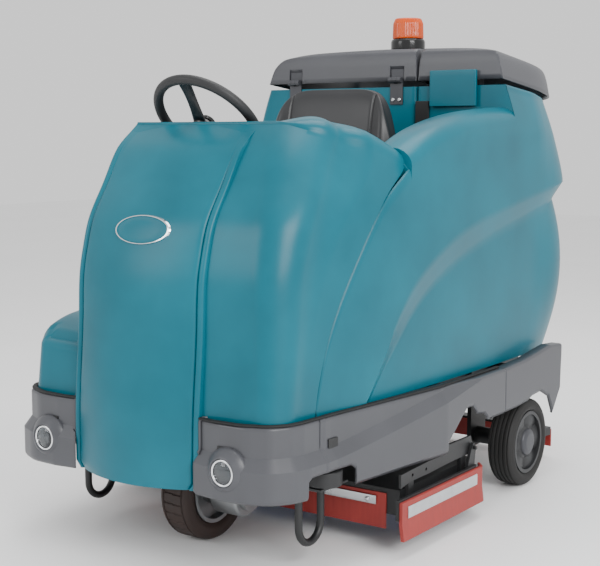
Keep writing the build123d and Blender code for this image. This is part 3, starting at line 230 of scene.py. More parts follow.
def hood_section(z, lean_start, thickness):
    """Plan section of the hood at heights z: front wall, round corner, side wall back to the seam."""
    front_part = np.linspace(0.0, 1.0, 90)
    arc_part = np.linspace(0.0, 1.0, 30)[1:]
    side_part = np.linspace(0.0, 1.0, 40)[1:]
    radius = 0.075 + 0.075 * np.clip((z - 0.45) / 0.8, 0.0, 1.0) ** 1.5
    lean = 0.050 * ease(z, lean_start, 1.26)
    corner_x = 0.470 - lean - thickness[1]
    front = nose_y(z) + thickness[0]
    turn = corner_x - radius
    x1 = -panel_half + (turn + panel_half) * front_part
    y1 = front - 0.010 + 0.017 * (x1 / 0.347) ** 2
    angle = arc_part * math.pi / 2
    start_y = front - 0.010 + 0.017 * (turn / 0.347) ** 2
    x2 = turn + radius * np.sin(angle)
    y2 = start_y + radius * (1.0 - np.cos(angle))
    y3 = (start_y + radius) + (seam_y(z) - start_y - radius) * side_part
    x3 = side_x(y3) - lean - thickness[1]
    blend = ease(side_part, 0.0, 0.5)
    x3 = corner_x * (1.0 - blend) + x3 * blend
    return np.concatenate([x1, x2, x3], 1), np.concatenate([y1, y2, y3], 1)


def teal_polyethylene():
    # Rotomoulded polyethylene coloured right through: satin, with a fine orange peel from the mould and soft
    # clouds where the powder melted unevenly. The peel is drawn at 3 mm so that it shows.
    material, tree, shader, place = start_material("teal_polyethylene", 0.34, "#00697C")
    cloud = add(tree, "ShaderNodeTexNoise", {"Vector": place, "Scale": per_mm(260.0), "Detail": 4.0})
    two_tones(tree, shader, cloud.outputs[0], "#004957", "#006C7E")
    peel = add(tree, "ShaderNodeTexNoise", {"Vector": place, "Scale": per_mm(3.0), "Detail": 2.0})
    relief(tree, shader, peel.outputs[0], 0.12)
    rough_between(tree, shader, cloud.outputs[0], 0.26, 0.42)
    shader.inputs["Specular IOR Level"].default_value = 0.28
    return material


teal = teal_polyethylene()
panel_half = 0.225
hood_low = 0.446
rows_up = np.linspace(0.0, 1.0, 70)[:, None]
top_x, top_y = hood_section(np.array([[1.235]]), 0.95, (0.0, 0.0))
rim_z = hood_top(top_y)
roll = 0.012 + 0.040 * ease(top_x, 0.30, 0.44)
outer_z = hood_low + (rim_z - roll - hood_low) * rows_up
outer_x = np.empty_like(outer_z)
outer_y = np.empty_like(outer_z)
for row in range(len(outer_z)):
    section_x, section_y = hood_section(outer_z[row][:, None], 0.95, (0.0, 0.0))
    outer_x[row], outer_y[row] = np.diagonal(section_x), np.diagonal(section_y)
inner_x = np.empty_like(outer_z)
inner_y = np.empty_like(outer_z)
inner_z = 0.40 + (rim_z - 0.016 - 0.40) * rows_up
wing_wall = 0.470 - 0.396
for row in range(len(inner_z)):
    section_x, section_y = hood_section(inner_z[row][:, None], 2.0, (0.022, wing_wall))
    inner_x[row], inner_y[row] = np.minimum(np.diagonal(section_x), 0.396), np.diagonal(section_y)
crown = np.linspace(0.0, 1.0, 22)[1:-1, None] * math.pi
mid_x, half_x = (outer_x[-1] + inner_x[-1]) / 2, (outer_x[-1] - inner_x[-1]) / 2
mid_y, half_y = (outer_y[-1] + inner_y[-1]) / 2, (outer_y[-1] - inner_y[-1]) / 2
low_z = outer_z[-1] * (0.5 + 0.5 * np.cos(crown)) + inner_z[-1] * (0.5 - 0.5 * np.cos(crown))
square = np.sign(np.cos(crown)) * np.abs(np.cos(crown)) ** 0.7
crown_x, crown_y = mid_x + half_x * square, mid_y + half_y * square
crown_z = low_z + (rim_z - np.minimum(outer_z[-1], inner_z[-1])) * 0.62 * np.sin(crown) ** 0.75
loop = [np.stack([outer_x, outer_y, outer_z], -1), np.stack([crown_x, crown_y, crown_z], -1),
        np.stack([inner_x, inner_y, inner_z], -1)[::-1]]
hood_loop = np.concatenate(loop + [loop[0][:1]])
fold = (hood_loop + hood_loop[::-1]) / 2
hood_points = np.concatenate([fold[:, :1], hood_loop, fold[:, -1:]], 1)
hood_wall = grid_mesh("hood_wall", hood_points, teal, inside=(0.05, -0.45, 0.9))
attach(hood_wall, "machine")


# The nose panel: the bulged centre of the same cowl, from just over the floor to the rim, with a turned-in
# edge, a rounded bead beside it and a groove before the wall. The bead dies out as the wall lies back.
def panel_front(x, z):
    """Crowned panel: a parabola across, flatter towards the top."""
    share = np.clip((z - 0.247) / 0.994, 0.0, 1.0)
    return nose_y(z) - 0.015 - 0.060 * (1.0 - 0.75 * share) * (1.0 - (x / panel_half) ** 2)


panel_low, panel_high = 0.247, 1.238
rise = np.concatenate([[0.0, 0.0, 0.004, 0.012], np.linspace(0.02, 0.985, 70), [0.995, 1.0]])[:, None]
panel_z = panel_low + (panel_high - panel_low) * rise
flat_part = np.linspace(0.0, 0.197, 26)
turn_in = 0.197 + 0.014 * np.sin(np.linspace(0.0, 1.0, 7)[1:] * math.pi / 2)
bead_part = 0.2215 - 0.0105 * np.cos(np.linspace(0.0, 1.0, 14)[1:] * math.pi)
across = np.concatenate([flat_part, turn_in, bead_part, [0.2322, 0.2322]])
drop = np.concatenate([np.zeros(26), 0.014 * (1.0 - np.cos(np.linspace(0.0, 1.0, 7)[1:] * math.pi / 2)),
                       0.014 - 0.010 * np.sin(np.linspace(0.0, 1.0, 14)[1:] * math.pi), [0.024, 0.060]])
across = np.concatenate([-across[:0:-1], across])
drop = np.concatenate([drop[:0:-1], drop])
fade = 1.0 - ease(panel_z, 0.98, 1.20)
corner_in = 0.016 * (1.0 - ease(panel_z, panel_low, panel_low + 0.022)) * np.abs(across / panel_half)
panel_x = np.broadcast_to(across, (len(rise), len(across))) - np.sign(across) * corner_in
sunk = np.where(drop > 0.05, drop, drop * fade)
blend_in = ease(panel_z, 1.16, panel_high) * 0.020
panel_y = panel_front(np.clip(across, -0.2, 0.2), panel_z) + sunk + blend_in
panel_y[0] += 0.045
panel_z = np.broadcast_to(panel_z, panel_y.shape).copy()
panel_z[0] += 0.004
nose_panel = grid_mesh("nose_panel", np.stack([panel_x, panel_y, panel_z], -1), teal, inside=(0.0, -0.3, 0.5))
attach(nose_panel, "machine")


# The low fender ahead of the operator's step: the same moulding, a closed box with large soft corners.
def inward(path, closed=True):
    """Unit normals to the left of an outline's travel: inwards, for one that runs anticlockwise."""
    if closed:
        ahead = np.roll(path, -1, 0) - np.roll(path, 1, 0)
    else:
        ahead = np.gradient(path, axis=0)
    ahead /= np.maximum(np.linalg.norm(ahead, axis=1, keepdims=True), 1e-9)
    return np.stack([-ahead[:, 1], ahead[:, 0]], 1)


def rounded_outline(corners, radii, arc_steps=9, gap=0.02):
    """Closed plan outline through corners, each rounded by its own radius, with points along the straights."""
    corners, made = np.asarray(corners, float), []
    for i, radius in enumerate(radii):
        here, back, ahead = corners[i], corners[i - 1], corners[(i + 1) % len(corners)]
        a, b = (back - here) / np.linalg.norm(back - here), (ahead - here) / np.linalg.norm(ahead - here)
        half_turn = math.acos(np.clip(a @ b, -1.0, 1.0)) / 2
        reach = radius / math.tan(half_turn)
        centre = here + (a + b) / np.linalg.norm(a + b) * radius / math.sin(half_turn)
        first, last = here + a * reach - centre, here + b * reach - centre
        turn = np.arctan2(first[0] * last[1] - first[1] * last[0], first @ last)
        angle = np.linspace(0.0, turn, arc_steps)
        arc = np.stack([first[0] * np.cos(angle) - first[1] * np.sin(angle),
                        first[0] * np.sin(angle) + first[1] * np.cos(angle)], 1) + centre
        made.append(arc)
    path = []
    for i, arc in enumerate(made):
        path.append(arc)
        following = made[(i + 1) % len(made)][0]
        steps = max(int(np.linalg.norm(following - arc[-1]) / gap), 1)
        path.append(arc[-1] + (following - arc[-1]) * (np.arange(1, steps) / steps)[:, None])
    return np.concatenate(path)


def moulded_box(ring, low, top, radius, draft=0.0, rows=24, inset_of=None, crown_rows=8):
    """Closed box on a plan outline: walls up from low to a rounded top edge, then a lid that closes to the
    outline's middle. low and top are functions of the plan position; inset_of(z, points) pulls the wall in."""
    normal, middle = inward(ring), ring.mean(0)
    low_z, top_z = low(ring), top(ring)
    levels = []
    for share in [0.02, 0.6, 1.0]:
        under = middle + (ring - middle) * share
        levels.append(np.concatenate([under, low(under)[:, None]], 1))
    for share in np.linspace(0.0, 1.0, rows)[1:]:
        z = low_z + (top_z - radius - low_z) * share
        inset = draft * share + (inset_of(z, ring) if inset_of else 0.0)
        levels.append(np.concatenate([ring + normal * np.broadcast_to(inset, z.shape)[:, None], z[:, None]], 1))
    for angle in np.linspace(0.0, math.pi / 2, 8)[1:]:
        rolled = ring + normal * np.broadcast_to(inset + radius * (1.0 - math.cos(angle)), z.shape)[:, None]
        levels.append(np.concatenate([rolled, (top_z - radius + radius * math.sin(angle))[:, None]], 1))
    for share in np.linspace(1.0, 0.0, crown_rows)[1:]:
        over = middle + (rolled - middle) * share
        levels.append(np.concatenate([over, top(over)[:, None]], 1))
    levels = np.array(levels)
    return np.concatenate([levels, levels[:, :1]], 1)


def level(z):
    """A flat height for moulded_box."""
    return lambda points: np.full(len(points), z)


fender_ring = rounded_outline([(-0.215, -0.872), (-0.425, -0.862), (-0.470, -0.800), (-0.470, -0.566),
                               (-0.215, -0.566)], [0.01, 0.050, 0.060, 0.030, 0.01])[::-1]
fender_top = lambda p: smooth_curve([-0.90, -0.83, -0.734, -0.649, -0.56], [.585, .612, .650, .664, .666], p[:, 1])
low_fender = grid_mesh("low_fender", moulded_box(fender_ring, level(0.446), fender_top, 0.030, draft=0.012), teal)
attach(low_fender, "machine")
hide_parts("front_hood")


# ---------------------------------------------------------------- solution tank
# The main body is the clean-water tank: one polyethylene moulding with the high wing beside the operator, the
# low deck under the seat and the tall column at the back. A crease sweeps up its flanks to the rear.
def outer_crease(y):
    """Upper edge of the crease band."""
    return smooth_curve([-.70, -.55, -.469, -.430, -.373, -.290, -.166, -.007, .194, .461, .785, 1.0],
                        [.30, .38, .480, .536, .626, .735, .825, .897, .946, .989, 1.034, 1.05], y)


def inner_crease(y):
    """Lower edge of the crease band."""
    return smooth_curve([-.70, -.55, -.437, -.362, -.242, -.076, .147, .424, .781, 1.0],
                        [.26, .33, .466, .554, .677, .776, .852, .911, .973, .99], y)


def tank_rim(y):
    """Top of the flank: along the seam, over the wing's hump, and up to the tall tank behind it."""
    low = smooth_curve([-.690, -.663, -.627, -.575, -.511, -.434, -.354, -.283],
                       [.470, .583, .683, .783, .884, .987, 1.056, 1.105], y)
    hump = smooth_curve([-.283, -.207, -.022, .144, .262, .424], [1.166, 1.200, 1.252, 1.278, 1.287, 1.296], y)
    return np.where(y < seam_end, low, hump)


def flank_inset(y, z):
    """How far the flank stands in from the widest outline: crease band, the swell below it, the taper above."""
    outer, inner = outer_crease(y), inner_crease(y)
    band = np.clip((outer - z) / np.maximum(outer - inner, 1e-6), 0.0, 1.0)
    rearward = ease(y, 0.55, 0.88)
    swell = 0.022 * (1.0 - rearward) + rearward * 0.042 * np.clip((z - 0.745) / 0.235, -1.3, 1.0) ** 2
    above = (1.0 - rearward) * 0.050 * np.clip((z - 1.20) / 0.17, 0.0, 2.0) ** 1.3
    above = above + rearward * 0.090 * np.clip((z - 1.04) / 0.28, 0.0, 2.0) ** 1.3
    return band * swell + above


def rear_curve(x_from, x_to, steps):
    """The back of the body in plan: a superellipse from the flank round to the middle, and on to the other side."""
    x = x_from + (x_to - x_from) * 0.5 * (1.0 - np.cos(np.linspace(0.0, math.pi, steps)))
    across = (1.0 - np.abs(x / body_half) ** rear_power) ** (1.0 / rear_power)
    return np.stack([x, rear_start + (rear_y - rear_start) * across], 1)


def flank_levels(path, top, roll_in, roll_down, base):
    """Rows of the outer wall over a plan path: base, both crease lines, the rolled top edge and a turned-in lip."""
    normal, y = inward(path, closed=False), path[:, 1]
    low = np.clip(inner_crease(y), base + 0.0005, top - roll_down - 0.002)
    high = np.clip(outer_crease(y), base + 0.0010, top - roll_down - 0.001)
    made = []
    for first, second, steps in ((np.full_like(y, base), low, 18), (low, high, 6), (high, top - roll_down, 26)):
        for share in np.linspace(0.0, 1.0, steps):
            z = first + (second - first) * share
            made.append(np.column_stack([path + normal * flank_inset(y, z)[:, None], z]))
    inset = flank_inset(y, z)
    for angle in np.linspace(0.0, math.pi / 2, 12)[1:]:
        plan = path + normal * (inset + roll_in * (1.0 - math.cos(angle)))[:, None]
        made.append(np.column_stack([plan, top - roll_down + roll_down * math.sin(angle)]))
    return made


# where the flank turns into the back, the back itself, and the roundness of that turn
rear_start, rear_y, rear_power = 0.62, 0.950, 3.6
body_half = 0.540      # half width of the body over its flanks
column_y = 0.390       # front of the tall tanks
face_top = 1.368       # top of their front faces, just under the lids
split = 0.154          # gap between the two tanks
deck_z = 0.745         # low deck under the seat
body_base = 0.446      # seam with the grey skirts
seam_end = -0.2825     # back end of the seam with the hood
side_y = np.unique(np.concatenate([np.linspace(-0.688, -0.2835, 60), [-0.2824], np.linspace(-0.27, column_y, 60)]))
wing_top = tank_rim(side_y)
ahead_of_seam = side_y < seam_end
wing_levels = flank_levels(np.stack([side_x(side_y), side_y], 1), wing_top, np.where(ahead_of_seam, 0.012, 0.070),
                           np.where(ahead_of_seam, 0.034, 0.055), body_base)
last_x = wing_levels[-1][:, 0]
edge_x = np.where(ahead_of_seam, last_x - 0.004, 0.412)
inner_wall_x = np.where(ahead_of_seam, last_x - 0.006, 0.398)
floor_of_wall = np.where(ahead_of_seam, wing_top - 0.05, deck_z - 0.01)
for share in np.linspace(0.0, 1.0, 6)[1:]:
    x = last_x + (edge_x - last_x) * share
    wing_levels.append(np.stack([x, side_y, wing_top - 0.006 * share * share], 1))
for angle in np.linspace(0.0, math.pi / 2, 6)[1:]:
    x = edge_x + (inner_wall_x - edge_x) * math.sin(angle)
    wing_levels.append(np.stack([x, side_y, wing_top - 0.006 - 0.014 * (1.0 - math.cos(angle))], 1))
for share in np.linspace(0.0, 1.0, 10)[1:]:
    z = (wing_top - 0.020) + (floor_of_wall - wing_top + 0.020) * share
    wing_levels.append(np.stack([inner_wall_x, side_y, z], 1))
tank_wing = grid_mesh("tank_wing", wing_levels, teal, inside=(0.46, 0.0, 0.6), sharp_angle=24.0)


def tall_rim(points):
    """The tall tanks' top falls to the rear."""
    return 1.370 - 0.115 * np.clip(points[:, 1] - 0.39, 0.0, 1.0)


def lipped(levels, depth):
    """The levels with a flange turned in from the last one, and a short drop inside it: the rim of a tank's mouth."""
    last, before = levels[-1], levels[-6]
    inwards = last[:, :2] - before[:, :2]
    inwards /= np.maximum(np.linalg.norm(inwards, axis=1, keepdims=True), 1e-9)
    flange = np.column_stack([last[:, :2] + inwards * 0.035, last[:, 2]])
    return levels + [flange, flange - np.array([0.0, 0.0, depth])]


straight = np.stack([np.full(24, body_half), np.linspace(column_y - 0.001, rear_start, 24)], 1)
column_path = np.concatenate([straight[:-1], rear_curve(body_half, split, 50)])
column_levels = flank_levels(column_path, tall_rim(column_path), 0.012, 0.014, body_base)
tank_column = grid_mesh("tank_column", lipped(column_levels, 0.30), teal, inside=(0.3, 0.6, 0.9), sharp_angle=24.0)

# its front face, from the deck to the rim, with a rounded edge beside the gap to the other tank
face_z = np.linspace(deck_z - 0.01, face_top, 60)[:, None]
face_share = np.concatenate([[0.0, 0.0, 0.004, 0.012, 0.024], np.linspace(0.05, 1.0, 20)])[None, :]
face_right = body_half - flank_inset(np.full_like(face_z, column_y), face_z) - 0.001
face_x = split + (face_right - split) * face_share + 0.0 * face_z
face_y = column_y - 0.0012 + 0.012 * np.clip(1.0 - face_share / 0.024, 0.0, 1.0) ** 2 + 0.0 * face_z
face_y[:, 0] += 0.08
column_face = grid_mesh("column_face", np.stack([face_x, face_y, face_z + 0.0 * face_x], -1), teal,
                        inside=(0.3, 0.6, 0.9))

low_path = np.concatenate([rear_curve(split + 0.02, -body_half, 70),
                           np.stack([np.full(50, -body_half), np.linspace(rear_start, -0.27, 50)], 1)[1:]])
corner = np.linspace(0.0, math.pi / 2, 12)
front_corner = np.stack([-0.492 - 0.048 * np.cos(corner), -0.272 - 0.048 * np.sin(corner)], 1)
front_run = np.stack([np.linspace(-0.49, 0.43, 40), np.full(40, -0.320)], 1)
low_path = np.concatenate([low_path, front_corner[1:], front_run[1:]])
low_levels = flank_levels(low_path, np.full(len(low_path), deck_z), 0.018, 0.018, body_base)
middle, deck_edge = np.array([-0.06, 0.30]), low_levels[-1][:, :2]
for share in np.linspace(1.0, 0.0, 14)[1:]:
    low_levels.append(np.column_stack([middle + (deck_edge - middle) * share, np.full(len(low_path), deck_z)]))
tank_low = grid_mesh("tank_low", low_levels, teal, inside=(0.0, 0.3, 0.6), sharp_angle=24.0)
for piece in (tank_wing, tank_column, column_face, tank_low):
    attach(piece, "machine")
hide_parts("solution_tank")


# The filler neck stands in front of the fill lid. Beside it, a black plate is painted shade in the gap that parts the
# two tanks.
plates = []
for name, left, right, front, back, low, high, soft in (
        ("tank_neck", 0.213, 0.390, 0.369, 0.383, 1.300, 1.420, 0.004),
        ("column_gap_painted_shade", 0.153, 0.206, 0.379, 0.388, 1.020, 1.318, 0.003)):
    plate_ring = rounded_outline([(left, front), (right, front), (right, back), (left, back)], [soft] * 4,
                                 arc_steps=5, gap=0.004)
    plates.append(grid_mesh(name, moulded_box(plate_ring, level(low), level(high), soft, rows=8), teal))
    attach(plates[-1], "machine")
slot_shade = plates[1]


# ---------------------------------------------------------------- recovery tank
# The dirty-water tank stands on the deck beside the solution column. It is the same teal polyethylene.
recovery_path = np.concatenate([rear_curve(0.150, -body_half, 80),
                                np.stack([np.full(24, -body_half), np.linspace(rear_start, 0.42, 24)], 1)[1:]])
recovery_levels = flank_levels(recovery_path, tall_rim(recovery_path), 0.012, 0.014, deck_z + 0.004)
recovery_back = grid_mesh("recovery_back", lipped(recovery_levels, 0.45), teal, inside=(-0.2, 0.6, 1.0),
                          sharp_angle=24.0)
turn = np.linspace(0.0, math.pi / 2, 10)
left_x = -body_half + flank_inset(np.full_like(face_z, 0.42), face_z)
round_x = left_x + 0.030 * (1.0 - np.cos(turn))[None, :]
round_y = 0.42 - 0.030 * np.sin(turn)[None, :] + 0.0 * face_z
run = np.concatenate([np.linspace(0.04, 0.96, 24), [0.976, 0.988, 0.996, 1.0, 1.0]])[None, :]
run_x = (left_x + 0.030) + (0.150 - left_x - 0.030) * run
run_y = 0.390 + 0.012 * np.clip((run - 0.976) / 0.024, 0.0, 1.0) ** 2 + 0.0 * face_z
run_y[:, -1] += 0.08
front_z = deck_z + 0.004 + (face_top - deck_z - 0.004) * np.linspace(0.0, 1.0, 60)[:, None]
recovery_face = grid_mesh("recovery_face", np.stack([np.concatenate([round_x, run_x], 1),
                                                     np.concatenate([round_y, run_y], 1),
                                                     np.broadcast_to(front_z, (60, 10 + run.shape[1]))], -1),
                          teal, inside=(-0.2, 0.6, 1.0), sharp_angle=24.0)
for piece in (recovery_back, recovery_face):
    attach(piece, "machine")
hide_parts("recovery_tank")


# ---------------------------------------------------------------- lids
# Two grey crowned covers over the tanks, parted by a shadow gap. The wider one carries the beacon.
def grey_polyethylene():
    # Moulded polyethylene in a warm mid grey: satin, with a fine mould grain drawn at 3 mm so that it shows.
    material, tree, shader, place = start_material("grey_polyethylene", 0.40, "#62636A")
    cloud = add(tree, "ShaderNodeTexNoise", {"Vector": place, "Scale": per_mm(180.0), "Detail": 4.0})
    two_tones(tree, shader, cloud.outputs[0], "#3C3D41", "#494A4F")
    peel = add(tree, "ShaderNodeTexNoise", {"Vector": place, "Scale": per_mm(3.0), "Detail": 2.0})
    relief(tree, shader, peel.outputs[0], 0.15)
    rough_between(tree, shader, cloud.outputs[0], 0.30, 0.48)
    return material


grey = grey_polyethylene()


def lid_front(x):
    """Height of the crown over the lid's lower edge, across the machine."""
    return smooth_curve([-.480, -.470, -.447, -.389, -.257, -.094, .018, .167, .337, .434, .467, .482],
                        [.0, .030, .070, .100, .116, .123, .124, .119, .111, .099, .060, .0], x)


def lid_side(y):
    """The same along the machine: upright at the front, a long crown, and a round fall at the back."""
    return np.interp(y, [.386, .390, .396, .410, .440, .480, .575, .680, .775, .822, .855, .885, .905, .912],
                     [.0, .070, .098, .116, .128, .136, .140, .137, .127, .112, .088, .052, .018, .0])


def crowned_lid(name, x_line, end_drop):
    """Two profiles, one across and one along, joined by the lower of them with a soft fillet where they meet."""
    y_line = np.concatenate([[.386, .387, .388, .389, .390, .392, .394, .397, .402], np.linspace(.410, .800, 36),
                             np.linspace(.812, .912, 18)])
    x, y = np.meshgrid(x_line, y_line)
    across, along = lid_front(x) * end_drop(x), lid_side(y)
    narrowing = (1.0 - np.clip((y - 0.56) / 0.385, 0.0, 0.97) ** 3.2) ** (1.0 / 3.2)
    soft = 0.010
    height = np.minimum(across, along) - soft * np.exp(-np.abs(across - along) / soft) * 0.5
    height = np.maximum(height, 0.0)
    edge = 1.388 - 0.115 * (y - 0.39)
    for hinge_x in hinge_places:
        notch = (np.abs(x - hinge_x) < 0.0285) & (height < 0.043) & (y < 0.42)
        y = np.where(notch, y + 0.013, y)
    x = np.where(np.abs(x) > 0.20, np.sign(x) * (0.20 + (np.abs(x) - 0.20) * narrowing), x)
    return grid_mesh(name, np.stack([x, y, edge + height], -1), grey, inside=(0.0, 0.6, 1.2), sharp_angle=30.0)


hinge_places = (-0.360, 0.073)
hinge_edges = [x + d for x in hinge_places for d in (-0.029, -0.028, 0.028, 0.029)]
recovery_x = np.unique(np.concatenate([np.linspace(-.480, -.447, 12), np.linspace(-.44, .140, 64), hinge_edges,
                                       [.1440, .1480, .1505, .1519, .1520]]))
recovery_top = crowned_lid("recovery_cover", recovery_x, lambda x: np.sqrt(np.clip((0.152 - x) / 0.009, 0.0, 1.0)))
fill_x = np.unique(np.concatenate([[.1600, .1601, .1615, .1640, .1680], np.linspace(.172, .434, 34),
                                   np.linspace(.440, .482, 14)]))
fill_top = crowned_lid("fill_cover", fill_x, lambda x: np.sqrt(np.clip((x - 0.160) / 0.009, 0.0, 1.0)))
for piece, body, node in ((recovery_top, "recovery_lid", "recovery_lid"), (fill_top, "fill_lid", "fill_lid")):
    wall = piece.modifiers.new("wall", "SOLIDIFY")
    wall.thickness = 0.005
    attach(piece, body)
    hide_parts(node)


# ---------------------------------------------------------------- skirts and bumpers
# Grey polyethylene skirts wrap the frame below the body: a thin upper band, a chamfer and a thicker lower band
# that rises along the flank, with an arch over the blade linkage and another over the rear wheel.
front_line = rounded_outline([(0.229, -0.70), (0.229, -0.898), (0.300, -0.908), (0.390, -0.904), (0.460, -0.872),
                              (0.492, -0.820), (0.504, -0.773), (0.511, -0.655), (0.52, -0.60)],
                             [.004, .002, .05, .11, .07, .07, .07, .2, .004], arc_steps=14, gap=0.006)
start = int(np.argmax((front_line[:, 1] < -0.8975) & (front_line[:, 0] < 0.235)))
front_line = np.roll(front_line, -start, 0)
front_line = front_line[:int(np.argmax((front_line[:, 1] > -0.70) & (front_line[:, 0] > 0.4)))]
skirt_half = lambda y: 0.511 + 0.059 * np.clip((y + 0.655) / 0.509, 0.0, 1.0)
arch_y = [-.138, -.137, -.094, -.051, -.014, .024, .056, .104, .133, .243]
wheel_y = [.247, .346, .429, .465, .526, .591, .632, .684, .690]
flank_y = np.unique(np.concatenate([np.linspace(-.698, -.695, 3), np.linspace(-.69, -.575, 20),
                                    [-.5745, -.572, -.567], np.linspace(-.56, .24, 76), arch_y]))
bay_low, bay_high = -0.778, -0.572


def skirt_low(y):
    """Lower edge of the side skirt: level, up over the roller's bay, and over the blade's linkage."""
    arch = np.interp(y, arch_y, [.242, .270, .301, .335, .361, .360, .330, .323, .297, .297])
    bay = (y > bay_low) & (y < bay_high)
    rounding = np.minimum(np.abs(y - bay_low), np.abs(y - bay_high))
    lift = 0.300 - 0.020 * (1.0 - np.sqrt(np.clip(rounding / 0.02, 0.0, 1.0)))
    return np.where(bay, lift, arch)


def chamfer_top(y):
    """The chamfer starts low on the nose and climbs to the top edge behind the linkage arch."""
    return 0.363 + np.clip((y + 0.66) / 0.72, 0.0, 1.4) ** 1.15 * 0.105


def skirt_surface(path, low, top, rows=26):
    """The wall follows a plan path; its relief steps out by 24 mm below the chamfer. A lip turns in at the top."""
    outward = -inward(path, closed=False)
    band = chamfer_top(path[:, 1])
    levels = []
    marks = [low, np.clip(band - 0.033, low + 0.001, top - 0.012), np.clip(band, low + 0.002, top - 0.010),
             top - 0.009]
    for first, second, steps in ((0, 1, 14), (1, 2, 5), (2, 3, 8)):
        for share in np.linspace(0.0, 1.0, steps):
            z = marks[first] + (marks[second] - marks[first]) * share
            out = 0.012 - 0.024 * np.clip((z - (band - 0.033)) / 0.033, 0.0, 1.0)
            tuck = 0.006 * (1.0 - np.clip((z - low) / 0.012, 0.0, 1.0)) ** 2
            levels.append(np.concatenate([path + outward * (out - tuck)[:, None], z[:, None]], 1))
    for angle in np.linspace(0.0, math.pi / 2, 6)[1:]:
        inset = out - 0.009 * (1.0 - math.cos(angle))
        z = top - 0.009 + 0.009 * math.sin(angle)
        levels.append(np.concatenate([path + outward * inset[:, None], z[:, None]], 1))
    levels.append(np.concatenate([path + outward * (inset - 0.03)[:, None], z[:, None]], 1))
    return np.array(levels)


def mirrored(points):
    """The same surface on the other side of the machine."""
    return points * np.array([-1.0, 1.0, 1.0])


flank_path = np.stack([skirt_half(flank_y), flank_y], 1)
skirt_path = np.concatenate([front_line, flank_path])
skirt_path = np.unique(skirt_path.round(6), axis=0, return_index=True)[1]
skirt_path = np.concatenate([front_line, flank_path])[np.sort(skirt_path)]
low_edge = np.where(skirt_path[:, 1] > -0.80, skirt_low(skirt_path[:, 1]), 0.242)
side_skirt = skirt_surface(skirt_path, low_edge, np.full(len(skirt_path), 0.4455))
rear_line = np.unique(np.concatenate([np.linspace(.247, .690, 60), wheel_y]))
rear_path = np.stack([np.full_like(rear_line, 0.570), rear_line], 1)
rear_low = np.interp(rear_line, wheel_y, [.298, .300, .307, .318, .322, .293, .226, .300, .418])
rear_top = np.interp(rear_line, [.247, .400, .600, .690], [.4455, .452, .474, .468])
rear_skirt = skirt_surface(rear_path, rear_low, rear_top)
for side, turn in (("left", lambda p: p), ("right", mirrored)):
    for name, points, nodes in (("side_skirt_cover_" + side, side_skirt, ("side_skirt_" + side,)),
                                ("rear_skirt_cover_" + side, rear_skirt, ("rear_skirts",))):
        piece = grid_mesh(name, turn(points), grey, inside=(0.0, 0.2, 0.34), sharp_angle=28.0)
        wall = piece.modifiers.new("wall", "SOLIDIFY")
        wall.thickness = 0.008
        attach(piece, "machine")
        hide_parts(*nodes)


# ---------------------------------------------------------------- shared materials of the hard parts
# One material for each real finish; the frame's own solids take theirs by the record's slot names.
def grained(name, hexes, rough, grain_mm, depth_mm, cloud_mm=140.0, **shader_values):
    """A material whose colour and roughness drift in soft clouds and whose skin has a fine grain."""
    material, tree, shader, place = start_material(name, rough[0], hexes[0], **shader_values)
    cloud = add(tree, "ShaderNodeTexNoise", {"Vector": place, "Scale": per_mm(cloud_mm), "Detail": 5.0})
    two_tones(tree, shader, cloud.outputs[0], hexes[0], hexes[1])
    rough_between(tree, shader, cloud.outputs[0], rough[0], rough[1])
    grain = add(tree, "ShaderNodeTexNoise", {"Vector": place, "Scale": per_mm(grain_mm), "Detail": 3.0})
    relief(tree, shader, grain.outputs[0], depth_mm)
    return material


def worn_rubber(name, hexes):
    # Polyurethane squeegee rubber, scuffed paler along upright strokes.
    material, tree, shader, place = start_material(name, 0.5, hexes[0])
    stretched = add(tree, "ShaderNodeMapping", {"Vector": place, "Scale": (1.0, 1.0, 0.12)})
    strokes = add(tree, "ShaderNodeTexNoise", {"Vector": stretched.outputs[0], "Scale": per_mm(14.0), "Detail": 6.0})
    two_tones(tree, shader, strokes.outputs[0], hexes[0], hexes[1])
    rough_between(tree, shader, strokes.outputs[0], 0.42, 0.7)
    relief(tree, shader, strokes.outputs[0], 0.25)
    return material


def bristle_pack(name, hexes):
    # Polypropylene bristle: thin upright strands with darker gaps.
    material, tree, shader, place = start_material(name, 0.55, hexes[0])
    stretched = add(tree, "ShaderNodeMapping", {"Vector": place, "Scale": (1.0, 1.0, 0.03)})
    strand = add(tree, "ShaderNodeTexVoronoi", {"Vector": stretched.outputs[0], "Scale": per_mm(3.0)})
    two_tones(tree, shader, strand.outputs[0], hexes[0], hexes[1])
    relief(tree, shader, strand.outputs[0], 1.2)
    return material


